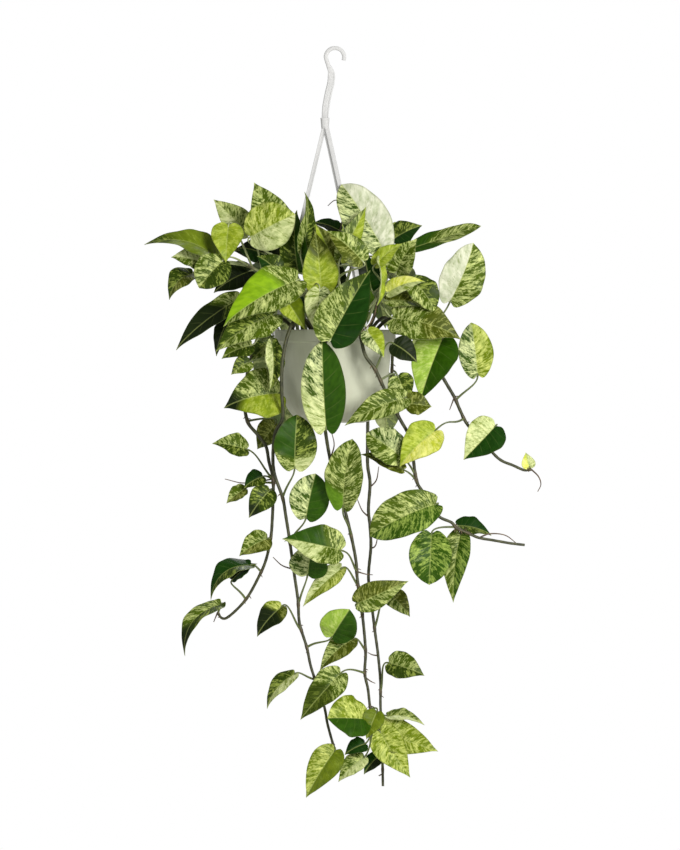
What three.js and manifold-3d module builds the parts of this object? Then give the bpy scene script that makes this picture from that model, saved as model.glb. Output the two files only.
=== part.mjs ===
// A hanging pot of variegated pothos: a moulded pot, a three-armed hanger with a hook,
// a plug of potting soil, and the leafy stems that stand in it and trail over the rim.
// Millimetres, +Z up. The origin is the inner top of the hook, the point that it hangs by.
// -Y is the front, +X is the right. The pot's axis hangs straight below the hook.
import * as THREE from "three";
import { mergeVertices } from "three/addons/utils/BufferGeometryUtils.js";
import Module from "manifold-3d";

const wasm = await Module();
wasm.setup();

// ---------------------------------------------------------------- driving dimensions
const RIM_Z = -350;              // top of the rim, below the hook
const RIM_R = 76;                // outer radius of the rim band
const RIM_BAND = 15;             // height of the rim band
const RIM_THICK = 4.2;           // from the band's outside to its inside
const RIM_EDGE = 1.2;            // rounding of the rim's edges
const POT_HEIGHT = 116;
const POT_TOP_R = 71;            // outer radius of the wall, just under the band
const POT_LOW_R = 65.5;          // outer radius where the foot starts to round in
const POT_FOOT_R = 32;           // radius of the flat underside
const FOOT_RISE = 42;            // height of the rounded foot
const WALL = 2.4;
const POT_SIDES = 24;
const DRAIN_HOLES = 5;
const DRAIN_R = 4;
const DRAIN_RING_R = 22;
const DRAIN_SIDES = 8;

const SOIL_DROP = 15;            // soil edge, below the rim
const SOIL_DOME = 5;             // how far the soil rises to its middle
const GAP = 0.4;                 // clearance between pieces that touch
const HOLE_DEPTH = 55;           // stem holes, below the soil's edge
const HOLE_R = 3;
const HOLE_SIDES = 6;

const START_Z = -358;            // where the stems start to lean, just above the soil
const STEM_R = 2.3;
const STEM_SIDES = 5;
const PETIOLE_R = 1.15;
const TWIG_R = 1.1;              // dried sheaths and young roots
const TWIG_SIDES = 3;
const BLADE = 0.9;               // thickness of a leaf

const HOOK_R = 9;                // inner radius of the hook
const HOOK_BAR = 5;              // width of the hook's bar
const HOOK_THICK = 4;
const HOOK_FROM = -20;           // the hook's free end, degrees round its middle
const HOOK_TO = 180;
const HOOK_STEP = 20;
const NECK = [-9.5, -16];        // where the hook's bar turns towards the strap, [x, z]
const NECK_SHARE = 0.25;         // of the stretch from there to the strap's first bend
const STRAP_WIDTH = 9;           // seen from the front
const STRAP_THICK = 2.6;
// The strap's middle line from its first bend down, [x, z].
const STRAP_ROUTE = [
  [-4.8, -28], [-5, -40], [-8.5, -55], [-11.5, -72], [-12.5, -88], [-12.5, -97],
];
const SPLIT = [-12.5, 0, -92];   // where the strap parts into three arms
const KNUCKLE_TOP_R = 6;
const KNUCKLE_LOW_R = 4.6;
const KNUCKLE_HEIGHT = 14;
const KNUCKLE_SIDES = 10;
const ARM_WIDTH = 6.5;
const ARM_THICK = 5.2;
const ARM_STEPS = 6;
const ARM_ANGLES = [180, 60, -60];
const ARM_BOW = [0, 4, 4];       // how far each arm bows out, pressed by the leaves
const CLIP_THICK = 2.2;
const CLIP_DROP = 6;             // how far a clip reaches down inside the rim
const CLIP_CATCH = 2.6;          // how far its catch reaches under the rim band

// ---------------------------------------------------------------- solids
function toSolid(geometry) {
  const bare = geometry.index ? geometry.toNonIndexed() : geometry.clone();
  bare.deleteAttribute("normal");
  bare.deleteAttribute("uv");
  const merged = mergeVertices(bare, 1e-3);
  const index = merged.index.array;
  const triVerts = [];
  for (let i = 0; i < index.length; i += 3) {
    const [a, b, c] = [index[i], index[i + 1], index[i + 2]];
    if (a !== b && b !== c && c !== a) triVerts.push(a, b, c);
  }
  return new wasm.Manifold(new wasm.Mesh({
    numProp: 3,
    vertProperties: new Float32Array(merged.attributes.position.array),
    triVerts: new Uint32Array(triVerts),
  }));
}

function toMesh(name, solid, color, roughness) {
  const { numProp, vertProperties, triVerts } = solid.getMesh();
  const position = new Float32Array((vertProperties.length / numProp) * 3);
  for (let i = 0; i < position.length / 3; i += 1) {
    position.set(vertProperties.subarray(i * numProp, i * numProp + 3), i * 3);
  }
  const geometry = new THREE.BufferGeometry();
  geometry.setAttribute("position", new THREE.BufferAttribute(position, 3));
  geometry.setIndex(new THREE.BufferAttribute(new Uint32Array(triVerts), 1));
  const mesh = new THREE.Mesh(
    geometry, new THREE.MeshStandardMaterial({ color, roughness, metalness: 0 }));
  mesh.name = name;
  return mesh;
}

function lathe(profile) {
  const points = profile.map(([r, z]) => new THREE.Vector2(r, z));
  const geometry = new THREE.LatheGeometry(points, POT_SIDES);
  geometry.rotateX(Math.PI / 2);
  return toSolid(geometry);
}

const vector = ([x, y, z]) => new THREE.Vector3(x, y, z);

// Frames along a line of points, turned no more than the line itself turns. `up` and
// `side` are the directions at the last point.
function carryFrames(points, up, side) {
  const frames = [];
  let heading = null;
  for (let i = points.length - 1; i >= 0; i -= 1) {
    const before = points[Math.max(i - 1, 0)];
    const after = points[Math.min(i + 1, points.length - 1)];
    const next = after.clone().sub(before).normalize();
    if (heading) {
      const turn = new THREE.Quaternion().setFromUnitVectors(heading, next);
      up = up.clone().applyQuaternion(turn);
      side = side.clone().applyQuaternion(turn);
    }
    heading = next;
    frames.unshift({ point: points[i], up, side });
  }
  return frames;
}

// A closed tube with flat ends along a line of points.
function tube(points, radius, sides) {
  const last = points[points.length - 1].clone().sub(points[points.length - 2]).normalize();
  const up = new THREE.Vector3(last.z, last.x, last.y).cross(last).normalize();
  const frames = carryFrames(points, up, last.clone().cross(up));
  const position = [];
  for (const { point, up: u, side } of frames) {
    for (let k = 0; k < sides; k += 1) {
      const a = (2 * Math.PI * k) / sides;
      position.push(...point.clone()
        .addScaledVector(u, radius * Math.cos(a))
        .addScaledVector(side, radius * Math.sin(a)).toArray());
    }
  }
  const index = [];
  for (let i = 0; i < points.length - 1; i += 1) {
    for (let k = 0; k < sides; k += 1) {
      const [a, b] = [i * sides + k, i * sides + ((k + 1) % sides)];
      index.push(a, b, b + sides, a, b + sides, a + sides);
    }
  }
  const top = (points.length - 1) * sides;
  for (let k = 1; k < sides - 1; k += 1) index.push(0, k + 1, k, top, top + k, top + k + 1);
  return indexed(position, index);
}

function indexed(position, index) {
  const geometry = new THREE.BufferGeometry();
  geometry.setAttribute("position", new THREE.Float32BufferAttribute(position, 3));
  geometry.setIndex(index);
  return toSolid(geometry);
}

// ---------------------------------------------------------------- pot
function footArc(lowR, footR, bottomZ, rise, count) {
  const points = [];
  for (let i = 0; i <= count; i += 1) {
    const a = (Math.PI / 2) * (i / count);
    points.push([
      footR + (lowR - footR) * Math.sin(a),
      bottomZ + rise * (1 - Math.cos(a)),
    ]);
  }
  return points;
}

function makePot() {
  const bottom = RIM_Z - POT_HEIGHT;
  const bandZ = RIM_Z - RIM_BAND;
  const outer = [
    [0, bottom],
    ...footArc(POT_LOW_R, POT_FOOT_R, bottom, FOOT_RISE, 4),
    [POT_TOP_R, bandZ - 1],
    [RIM_R - 1, bandZ],
    [RIM_R, RIM_Z - RIM_EDGE],
    [RIM_R - RIM_EDGE, RIM_Z],
  ];
  const inner = [
    [RIM_R - RIM_THICK + RIM_EDGE, RIM_Z],
    [RIM_R - RIM_THICK, RIM_Z - RIM_EDGE],
    [RIM_R - RIM_THICK, bandZ - 1],
    [POT_TOP_R - WALL, bandZ - 3],
    ...footArc(POT_LOW_R - WALL, POT_FOOT_R - WALL, bottom + WALL, FOOT_RISE, 4).reverse(),
    [0, bottom + WALL],
  ];
  let pot = lathe([...outer, ...inner]);
  for (let i = 0; i < DRAIN_HOLES; i += 1) {
    const a = (2 * Math.PI * (i + 0.5)) / DRAIN_HOLES;
    const drain = new THREE.CylinderGeometry(DRAIN_R, DRAIN_R, 4 * WALL, DRAIN_SIDES);
    drain.rotateX(Math.PI / 2);
    drain.translate(DRAIN_RING_R * Math.cos(a), DRAIN_RING_R * Math.sin(a), bottom + WALL / 2);
    pot = pot.subtract(toSolid(drain));
  }
  return pot;
}

// ---------------------------------------------------------------- soil
function makeSoil(stems) {
  const bottom = RIM_Z - POT_HEIGHT + WALL + GAP;
  const top = RIM_Z - SOIL_DROP;
  const inset = WALL + GAP;
  let soil = lathe([
    [0, bottom],
    ...footArc(POT_LOW_R - inset, POT_FOOT_R - inset, bottom, FOOT_RISE, 4),
    [POT_TOP_R - inset - 1, top - 1],
    [0.55 * POT_TOP_R, top + 0.75 * SOIL_DOME],
    [0, top + SOIL_DOME],
  ]);
  for (const stem of stems) {
    const hole = new THREE.CylinderGeometry(HOLE_R, HOLE_R, 2 * HOLE_DEPTH, HOLE_SIDES);
    hole.rotateX(Math.PI / 2);
    hole.translate(...stem.hole, top);
    soil = soil.subtract(toSolid(hole));
  }
  return soil;
}

// ---------------------------------------------------------------- hanger
// A flat bar that follows a route of [reach, height] points: `thick` is its size in the
// route's plane and `width` its size across it.
function bar(route, thick, width, place) {
  const flat = route.map(([r, z]) => new THREE.Vector2(r, z));
  const left = [];
  const right = [];
  flat.forEach((point, i) => {
    const before = flat[Math.max(i - 1, 0)];
    const after = flat[Math.min(i + 1, flat.length - 1)];
    const along = after.clone().sub(before).normalize();
    const off = new THREE.Vector2(-along.y, along.x).multiplyScalar(thick / 2);
    left.push(point.clone().add(off));
    right.unshift(point.clone().sub(off));
  });
  const geometry = new THREE.ExtrudeGeometry(
    new THREE.Shape([...left, ...right]), { depth: width, bevelEnabled: false });
  geometry.translate(0, 0, -width / 2);
  geometry.rotateX(Math.PI / 2);
  geometry.applyMatrix4(place);
  return toSolid(geometry);
}

const at = (x, y, degrees) => new THREE.Matrix4()
  .makeTranslation(x, y, 0)
  .multiply(new THREE.Matrix4().makeRotationZ(THREE.MathUtils.degToRad(degrees)));

// A point on the straight stretch between the hook's neck and the strap's first bend,
// `beyond` millimetres below the place where the hook ends.
function onNeck(beyond) {
  const from = new THREE.Vector2(...NECK);
  const reach = new THREE.Vector2(...STRAP_ROUTE[0]).sub(from);
  return from.add(reach.setLength(NECK_SHARE * reach.length() + beyond)).toArray();
}

// The hook: a ring open to the right and below, and a neck that stands on the strap's end.
function makeHook() {
  const route = [];
  const middleR = HOOK_R + HOOK_BAR / 2;
  for (let degrees = HOOK_FROM; degrees <= HOOK_TO; degrees += HOOK_STEP) {
    const a = THREE.MathUtils.degToRad(degrees);
    route.push([middleR * Math.cos(a), -HOOK_R + middleR * Math.sin(a)]);
  }
  return bar([...route, NECK, onNeck(0)], HOOK_BAR, HOOK_THICK, at(0, 0, 0));
}

// A saddle clip over the rim, drawn in the plane through the pot's axis.
function clip(angle) {
  const insideR = RIM_R - RIM_THICK - GAP - CLIP_THICK;
  const outsideR = RIM_R + GAP + CLIP_THICK;
  const seat = RIM_Z + GAP;
  const low = RIM_Z - RIM_BAND - GAP;
  const outline = new THREE.Shape([
    [insideR, RIM_Z - CLIP_DROP],
    [insideR + 0.7 * CLIP_THICK, RIM_Z - CLIP_DROP],
    [insideR + CLIP_THICK, seat],
    [outsideR - CLIP_THICK, seat],
    [outsideR - CLIP_THICK, low],
    [outsideR - CLIP_THICK - CLIP_CATCH, low],
    [outsideR - CLIP_THICK - CLIP_CATCH, low - CLIP_THICK],
    [outsideR, low - CLIP_THICK],
    [outsideR, seat + CLIP_THICK],
    [insideR, seat + CLIP_THICK],
  ].map(([r, z]) => new THREE.Vector2(r, z)));
  const geometry = new THREE.ExtrudeGeometry(outline, { depth: ARM_WIDTH, bevelEnabled: false });
  geometry.translate(0, 0, -ARM_WIDTH / 2);
  geometry.rotateX(Math.PI / 2);
  geometry.applyMatrix4(at(0, 0, angle));
  return toSolid(geometry);
}

function arm(angle, bow) {
  const [sx, sy, sz] = SPLIT;
  const a = THREE.MathUtils.degToRad(angle);
  const seatR = RIM_R - RIM_THICK / 2;
  const dx = seatR * Math.cos(a) - sx;
  const dy = seatR * Math.sin(a) - sy;
  const reach = Math.hypot(dx, dy);
  const bottom = RIM_Z + GAP + CLIP_THICK;
  const route = [];
  for (let i = 0; i <= ARM_STEPS; i += 1) {
    const t = i / ARM_STEPS;
    route.push([reach * t + bow * Math.sin(Math.PI * t), sz + (bottom - sz) * t]);
  }
  const turn = THREE.MathUtils.radToDeg(Math.atan2(dy, dx));
  return bar(route, ARM_THICK, ARM_WIDTH, at(sx, sy, turn));
}

// The hanger below its hook: the strap, the knuckle, and the arms with their clips.
function makeHanger() {
  const knuckle = new THREE.CylinderGeometry(
    KNUCKLE_TOP_R, KNUCKLE_LOW_R, KNUCKLE_HEIGHT, KNUCKLE_SIDES);
  knuckle.rotateX(Math.PI / 2);
  knuckle.translate(...SPLIT);
  const strap = bar([onNeck(GAP), ...STRAP_ROUTE], STRAP_WIDTH, STRAP_THICK, at(0, 0, 0));
  let hanger = strap.add(toSolid(knuckle));
  ARM_ANGLES.forEach((angle, i) => {
    hanger = hanger.add(arm(angle, ARM_BOW[i])).add(clip(angle));
  });
  return hanger;
}

// ---------------------------------------------------------------- leaves
// Half of a leaf's outline: distance along the midrib (0 at the petiole, 1 at the tip), and
// half width as a share of the widest, on a pointed leaf and on a full, oval one.
const OUTLINE = [
  [-0.07, 0.34, 0.3], [0.05, 0.82, 0.68], [0.27, 1.0, 0.97], [0.52, 0.82, 1.0],
  [0.77, 0.42, 0.76], [0.92, 0.12, 0.4],
];
const MIDRIB = [0, 0.26, 0.52, 0.78];
// Triangles of one side: m = midrib point, e = outline point, "tip" = the tip.
const SIDE_FACES = [
  ["m0", "e0", "e1"], ["m0", "e1", "m1"], ["m1", "e1", "e2"], ["m1", "e2", "m2"],
  ["m2", "e2", "e3"], ["m2", "e3", "m3"], ["m3", "e3", "e4"], ["m3", "e4", "e5"],
  ["m3", "e5", "tip"],
];
const FOLD = 0.22;               // how steeply the halves rise from the midrib, radians
const WAVE = 0.05;               // height of the edge's waves, as a share of the width

function leafFrame(leaf) {
  const base = vector(leaf.base);
  const along = vector(leaf.tip).sub(base);
  const length = along.length();
  along.normalize();
  const up = vector(leaf.face);
  up.addScaledVector(along, -up.dot(along)).normalize();
  const side = up.clone().cross(along);
  return { base, along, up, side, length };
}

function leafPoint(leaf, frame, t, v, phase) {
  const half = (leaf.width / 2) * Math.abs(v);
  const arch = 4 * leaf.arch * frame.length * Math.max(t, 0) * (1 - t);
  const wave = WAVE * leaf.width * Math.abs(v) * Math.sin(9 * t + phase);
  return frame.base.clone()
    .addScaledVector(frame.along, t * frame.length)
    .addScaledVector(frame.side, Math.sign(v) * half * Math.cos(FOLD))
    .addScaledVector(frame.up, arch + half * Math.sin(FOLD) + wave);
}

// Gives a sheet of triangles its thickness, with the same triangles on both faces. The edge
// runs once round the sheet, from the sinus; there the four-sided petiole joins it.
function thicken(points, faces, edge, shoulders, petiole) {
  const normals = points.map(() => new THREE.Vector3());
  for (const [a, b, c] of faces) {
    const normal = points[b].clone().sub(points[a]).cross(points[c].clone().sub(points[a]));
    for (const i of [a, b, c]) normals[i].add(normal);
  }
  const count = points.length;
  const position = [];
  for (const sign of [1, -1]) {
    points.forEach((point, i) => {
      const moved = point.clone().addScaledVector(normals[i].normalize(), sign * BLADE / 2);
      position.push(...moved.toArray());
    });
  }
  const [right, left] = [2 * count, 2 * count + 1];
  for (const shoulder of shoulders) position.push(...shoulder.toArray());
  const index = [];
  for (const [a, b, c] of faces) index.push(a, b, c, count + a, count + c, count + b);
  edge.forEach((a, i) => {
    const b = edge[(i + 1) % edge.length];
    if (i === 0) index.push(a, b, right, b, count + b, right, count + b, count + a, right);
    else if (i === edge.length - 1) {
      index.push(a, b, left, left, count + b, count + a, a, left, count + a);
    } else index.push(a, b, count + b, a, count + b, count + a);
  });
  let ring = [edge[0], right, count + edge[0], left];
  for (let i = petiole.length - 2; i >= 0; i -= 1) {
    const { point, up, side } = petiole[i];
    const start = position.length / 3;
    for (const [u, s] of [[1, 0], [0, 1], [-1, 0], [0, -1]]) {
      position.push(...point.clone()
        .addScaledVector(up, u * PETIOLE_R)
        .addScaledVector(side, s * PETIOLE_R).toArray());
    }
    const next = [start, start + 1, start + 2, start + 3];
    for (let k = 0; k < 4; k += 1) {
      const m = (k + 1) % 4;
      index.push(ring[k], ring[m], next[m], ring[k], next[m], next[k]);
    }
    ring = next;
  }
  index.push(ring[0], ring[1], ring[2], ring[0], ring[2], ring[3]);
  return indexed(position, index);
}

// The petiole leaves the stem, bows up by `rise` of its span and meets the blade in line
// with the midrib. The more it has to turn, the more stretches it gets.
function petioleFrames(leaf, frame, root) {
  const reach = frame.base.clone().sub(root);
  const span = reach.length();
  const turn = THREE.MathUtils.radToDeg(reach.angleTo(frame.along));
  const middle = root.clone().lerp(frame.base, 0.4);
  middle.z += leaf.rise * span;
  const run = turn > 75 ? Math.min(Math.max(8, 0.35 * span), 20) : 0.3 * span;
  const behind = frame.base.clone().addScaledVector(frame.along, -run);
  const curve = new THREE.CubicBezierCurve3(root, middle, behind, frame.base);
  let steps = span < 48 ? 2 : 3;
  if (turn > 75) steps = turn > 115 ? 5 : 4;
  return carryFrames(curve.getPoints(steps), frame.up, frame.side);
}

function makeLeaf(leaf, order, root) {
  const frame = leafFrame(leaf);
  const points = [];
  const number = new Map();
  const add = (key, point) => {
    number.set(key, points.length);
    points.push(point);
  };
  MIDRIB.forEach((t, i) => add(`m${i}`, leafPoint(leaf, frame, t, 0, 0)));
  add("tip", leafPoint(leaf, frame, 1, 0, 0));
  for (const sign of [1, -1]) {
    OUTLINE.forEach(([t, pointed, oval], i) => {
      const v = sign * (leaf.oval ? oval : pointed);
      add(`${sign}e${i}`, leafPoint(leaf, frame, t, v, 2.4 * order + sign));
    });
  }
  const faces = [];
  for (const sign of [1, -1]) {
    for (const names of SIDE_FACES) {
      const face = names.map((n) => number.get(n[0] === "e" ? `${sign}${n}` : n));
      faces.push(sign === 1 ? face.reverse() : face);
    }
  }
  const last = OUTLINE.length - 1;
  const edge = ["m0", ...OUTLINE.map((_, i) => `1e${i}`), "tip",
    ...OUTLINE.map((_, i) => `-1e${last - i}`)].map((n) => number.get(n));
  const shoulders = [edge[1], edge[edge.length - 1]].map((i) => {
    const across = points[i].clone().sub(points[edge[0]]);
    return points[edge[0]].clone().addScaledVector(across.normalize(), PETIOLE_R);
  });
  return thicken(points, faces, edge, shoulders, petioleFrames(leaf, frame, root));
}

// ---------------------------------------------------------------- leafy stems
// leaf(node, base, tip, width, face, arch, rise): `node` counts along the stem's route from
// the soil at 0, so 3.5 is halfway from its third point to its fourth. `base` is where the
// petiole meets the blade. `face` is the way the upper side looks. `arch` is how far the
// midrib bows and `rise` how far the petiole does, each as a share of its length.
function leaf(node, base, tip, width, face = [0, -1, 0.3], arch = 0.08, rise = 0.12) {
  return { node, base, tip, width, face, arch, rise, oval: false };
}

const oval = (one) => ({ ...one, oval: true });

const STEMS = [
  {
    name: "vine_left",
    color: 0x6f8a3c,
    hole: [-52, -18],
    route: [
      [-57, -20, -343], [-72, -27, -334], [-86, -33, -342],
      [-98, -38, -365], [-108, -42, -400], [-113, -44, -435], [-109, -46, -464], [-97, -50, -480],
      [-86, -54, -495], [-82, -58, -515], [-77, -60, -536], [-77, -60, -561], [-78, -60, -587],
      [-80, -59, -610], [-86, -58, -637], [-95, -57, -658], [-111, -56, -686], [-132, -54, -707],
      [-141, -53, -709], [-146, -52, -702],
    ],
    leaves: [
      leaf(4.5, [-78, -48, -360], [-104, -54, -388], 32),
      leaf(4.2, [-79, -72, -366], [-81, -78, -427], 36, [0.75, -0.65, 0]),
      leaf(5, [-106, -72, -390], [-129, -78, -406], 24),
      leaf(5.5, [-69, -64, -429], [-138, -74, -447], 69, [0, -0.9, 0.4]),
      leaf(7, [-74, -34, -467], [-97, -32, -499], 34),
      leaf(11, [-110, -66, -499], [-152, -78, -491], 37, [-0.1, -0.75, 0.6], 0.08, -0.05),
      leaf(11, [-90, -62, -533], [-113, -66, -547], 28, [-0.3, -0.8, 0.4]),
      leaf(11.2, [-112, -58, -548], [-135, -58, -566], 24, [-0.3, -0.8, 0.5]),
      leaf(12, [-81, -68, -550], [-107, -74, -584], 34),
      leaf(14, [-84, -66, -610], [-119, -74, -631], 36, [-0.1, -0.8, 0.5]),
      leaf(15.7, [-105, -62, -643], [-155, -70, -685], 39, [-0.5, -0.6, 0.6], 0.26),
      leaf(17, [-127, -58, -661], [-97, -56, -641], 26, [-0.3, -0.6, 0.7]),
      leaf(20, [-142, -52, -692], [-188, -60, -755], 34, [-0.5, -0.6, 0.6], 0.24),
    ],
    twigs: [
      [[-77, -60, -536], [-112, -56, -541], [-137, -54, -536]],
      [[-146, -52, -702], [-151, -52, -714]],
    ],
  },
  {
    name: "vine_left_front",
    color: 0x6d9138,
    hole: [-30, -46],
    route: [
      [-34, -53, -343], [-44, -68, -334], [-54, -80, -345],
      [-62, -86, -370], [-66, -88, -400], [-66, -88, -430], [-65, -86, -460], [-74, -84, -478],
      [-77, -82, -506], [-75, -80, -530], [-65, -80, -559], [-61, -79, -582], [-56, -78, -614],
      [-51, -78, -651], [-46, -78, -686], [-44, -78, -715], [-35, -78, -745], [-29, -78, -772],
      [-14, -80, -816], [-9, -82, -841], [-1, -84, -870],
    ],
    leaves: [
      oval(leaf(11, [-50, -96, -522], [-47, -98, -456], 54, [0.1, -1, 0.1])),
      oval(leaf(13, [-36, -87, -584], [-24, -89, -529], 50, [0, -1, 0.1])),
      leaf(15.2, [-34, -84, -655], [-26, -88, -610], 50, [0, -1, 0.1]),
      leaf(16.3, [-66, -84, -694], [-97, -88, -731], 35, [-0.3, -0.85, 0.4], 0.08, -0.05),
      oval(leaf(17, [-4, -92, -732], [18, -108, -697], 48, [0, -1, -0.3])),
      leaf(18.3, [-50, -84, -778], [-85, -88, -820], 28, [-0.3, -0.7, 0.6], 0.16, -0.05),
      leaf(20.9, [0, -92, -872], [-36, -96, -931], 42, [-0.1, -0.95, 0.2]),
    ],
    twigs: [
      [[-52, -78, -648], [-66, -76, -643], [-77, -72, -633]],
    ],
  },
  {
    name: "vine_front",
    color: 0x719a36,
    hole: [-4, -52],
    route: [
      [-6, -60, -343], [-8, -76, -334], [-10, -90, -343],
      [-12, -95, -370], [-14, -96, -410], [-14, -94, -450], [-12, -90, -475], [-7, -84, -506],
      [0, -78, -537], [12, -74, -574], [20, -72, -606], [26, -70, -637], [28, -70, -662],
      [34, -70, -704], [38, -70, -749], [37, -70, -777], [41, -70, -797], [44, -70, -821],
      [50, -70, -840],
    ],
    leaves: [
      oval(leaf(5.6, [-11, -106, -473], [-16, -112, -364], 56, [-0.05, -1, 0.12], 0.05, 0)),
      oval(leaf(11, [10, -109, -570], [21, -109, -486], 49, [-0.3, -1, 0])),
      leaf(12.6, [7, -98, -624], [-65, -104, -609], 54, [0, -0.9, 0.4]),
      leaf(13.2, [8, -70, -647], [-40, -76, -694], 30, [-0.2, -0.8, 0.5]),
      leaf(14, [28, -84, -690], [91, -88, -662], 38, [0.1, -0.9, 0.3]),
      leaf(15, [22, -78, -735], [-19, -84, -773], 32, [-0.2, -0.85, 0.4], 0.14),
      leaf(16, [7, -90, -777], [-43, -98, -834], 43, [-0.1, -0.85, 0.45]),
      oval(leaf(18, [39, -76, -834], [-9, -104, -832], 58, [0, -0.85, 0.4])),
      leaf(18, [52, -74, -825], [39, -80, -859], 28),
      leaf(19, [37, -72, -865], [12, -78, -878], 26, [-0.2, -0.8, 0.5]),
      leaf(19, [36, -70, -882], [4, -74, -912], 28, [-0.2, -0.85, 0.4]),
    ],
    twigs: [
      [[-6, -84, -511], [-1, -88, -494], [-4, -95, -478]],
      [[25, -70, -650], [38, -68, -654], [47, -66, -655]],
      [[36, -70, -781], [44, -66, -787], [50, -62, -790]],
    ],
  },
  {
    name: "vine_back",
    color: 0x78973f,
    hole: [8, 48],
    route: [
      [10, 58, -343], [14, 76, -334], [20, 90, -344],
      [30, 94, -372], [38, 92, -410], [41, 86, -450], [41, 80, -487], [41, 76, -519],
      [44, 72, -542], [42, 68, -574], [44, 64, -597], [45, 60, -622], [42, 56, -660],
      [46, 52, -694], [50, 47, -727], [54, 42, -757], [57, 37, -792], [57, 33, -821],
      [59, 27, -869], [60, 22, -921],
    ],
    leaves: [
      leaf(3.5, [20, 112, -360], [8, 128, -420], 54, [0, 1, 0.3]),
      leaf(5, [46, 106, -400], [58, 116, -455], 46, [0.2, 1, 0.2]),
      leaf(14.9, [69, 40, -681], [94, 36, -709], 30, [0.2, -0.85, 0.4]),
      leaf(17.4, [68, 30, -767], [112, 24, -782], 41, [0, -0.85, 0.5]),
      leaf(18.3, [66, 22, -833], [112, 16, -844], 24, [0.1, -0.6, 0.8], 0.15),
      leaf(18.5, [54, 16, -851], [129, 6, -876], 50, [0.1, -0.9, 0.4], 0.02),
      leaf(19, [56, 8, -852], [94, -4, -909], 44, [0, -0.95, 0.2]),
      leaf(19.6, [56, 20, -882], [36, 16, -906], 22, [-0.2, -0.9, 0.3]),
    ],
    twigs: [
      [[44, 71, -547], [52, 68, -538], [55, 66, -521]],
      [[42, 67, -584], [34, 62, -576], [28, 58, -562]],
      [[45, 60, -624], [51, 58, -620], [54, 56, -606]],
      [[54, 42, -758], [47, 40, -757], [41, 38, -754]],
    ],
  },
  {
    name: "vine_right_front",
    color: 0x6b8d36,
    hole: [17, -47],
    route: [
      [19, -56, -343], [22, -74, -334], [29, -88, -346],
      [37, -92, -381], [50, -90, -400], [66, -86, -434], [81, -82, -462], [91, -79, -480],
      [96, -77, -500], [101, -75, -537], [111, -72, -554], [125, -68, -572], [130, -67, -583],
      [145, -65, -590], [151, -64, -597], [165, -62, -603], [179, -60, -609], [196, -58, -612],
      [219, -56, -616], [236, -54, -618],
    ],
    leaves: [
      leaf(5, [73, -94, -368], [102, -94, -391], 34, [0.2, -0.9, 0.3]),
      leaf(5.4, [78, -82, -408], [91, -84, -440], 34),
      leaf(6.4, [87, -98, -435], [12, -106, -469], 38, [0, -0.9, 0.4]),
      leaf(6.6, [89, -90, -442], [120, -84, -446], 36, [0.1, -0.85, 0.5]),
      oval(leaf(9.8, [84, -84, -510], [39, -84, -479], 46, [0, -0.9, 0.4])),
      leaf(10, [84, -80, -524], [32, -78, -505], 26, [0, -0.75, 0.6]),
      oval(leaf(12, [125, -84, -567], [43, -90, -606], 59, [0, -0.9, 0.4], 0.14)),
      oval(leaf(14.8, [120, -68, -604], [117, -74, -667], 54, [0, -1, 0.2])),
      leaf(16, [156, -56, -604], [147, -60, -690], 36, [-0.2, -0.95, 0.1]),
      leaf(15.3, [152, -46, -594], [195, -42, -606], 32, [0.1, -0.7, 0.7]),
    ],
    twigs: [
      [[179, -60, -609], [193, -57, -604], [212, -56, -606], [227, -55, -617]],
    ],
  },
  {
    name: "vine_right",
    color: 0x86a03a,
    hole: [52, -8],
    route: [
      [57, -8, -344], [72, -8, -335], [88, -9, -340],
      [104, -10, -356], [120, -12, -382], [135, -14, -410], [149, -15, -434], [156, -16, -450],
      [166, -17, -469], [191, -18, -497], [206, -18, -512], [222, -18, -519], [236, -18, -525],
      [245, -18, -524],
    ],
    leaves: [
      oval(leaf(4.5, [144, -10, -314], [173, -20, -242], 57, [0.4, -1, 0.25])),
      leaf(5, [134, -36, -361], [106, -46, -439], 60, [-0.2, -0.9, 0.3]),
      oval(leaf(7.2, [178, -18, -406], [170, -26, -341], 44, [0.1, -1, 0.2], 0.08, 0)),
      leaf(8.6, [125, -92, -475], [80, -98, -520], 50, [-0.1, -0.9, 0.4], 0.08, -0.05),
      leaf(9.8, [200, -34, -470], [160, -42, -512], 52, [0, -0.95, 0.3]),
      leaf(13.9, [243, -18, -522], [238, -20, -503], 18, [0, -1, 0.1]),
    ],
    twigs: [
      [[149, -15, -434], [143, -17, -450]],
      [[245, -18, -524], [254, -18, -533], [257, -18, -543], [253, -18, -552]],
    ],
  },
  {
    name: "vine_back_left",
    color: 0x678a38,
    hole: [-28, 46],
    route: [
      [-32, 54, -343], [-42, 68, -334], [-52, 80, -344],
      [-58, 88, -375], [-60, 92, -410], [-56, 94, -445],
    ],
    leaves: [
      leaf(3.8, [-74, 96, -372], [-98, 108, -420], 46, [-0.4, 0.9, 0.2]),
      leaf(4.7, [-46, 108, -392], [-40, 118, -455], 50, [0, 1, 0.2]),
      leaf(6, [-60, 102, -440], [-68, 108, -484], 38, [-0.1, 1, 0.1]),
    ],
    twigs: [],
  },
  {
    name: "vine_back_right",
    color: 0x7c9a40,
    hole: [46, 30],
    route: [
      [50, 36, -343], [62, 46, -334], [70, 54, -344],
      [72, 62, -375], [71, 68, -410], [68, 72, -440],
    ],
    leaves: [
      leaf(3.8, [96, 66, -366], [126, 80, -410], 44, [0.5, 0.8, 0.2]),
      leaf(4.7, [78, 84, -408], [74, 100, -460], 42, [0.1, 1, 0.2]),
      leaf(6, [64, 84, -446], [66, 92, -484], 34, [0.2, 1, 0.1]),
    ],
    twigs: [],
  },
  {
    name: "sprig_left",
    color: 0x9bb04a,
    hole: [-46, 16],
    route: [
      [-52, 16, -330], [-68, 14, -300], [-90, 4, -280],
      [-112, -4, -268],
    ],
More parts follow.
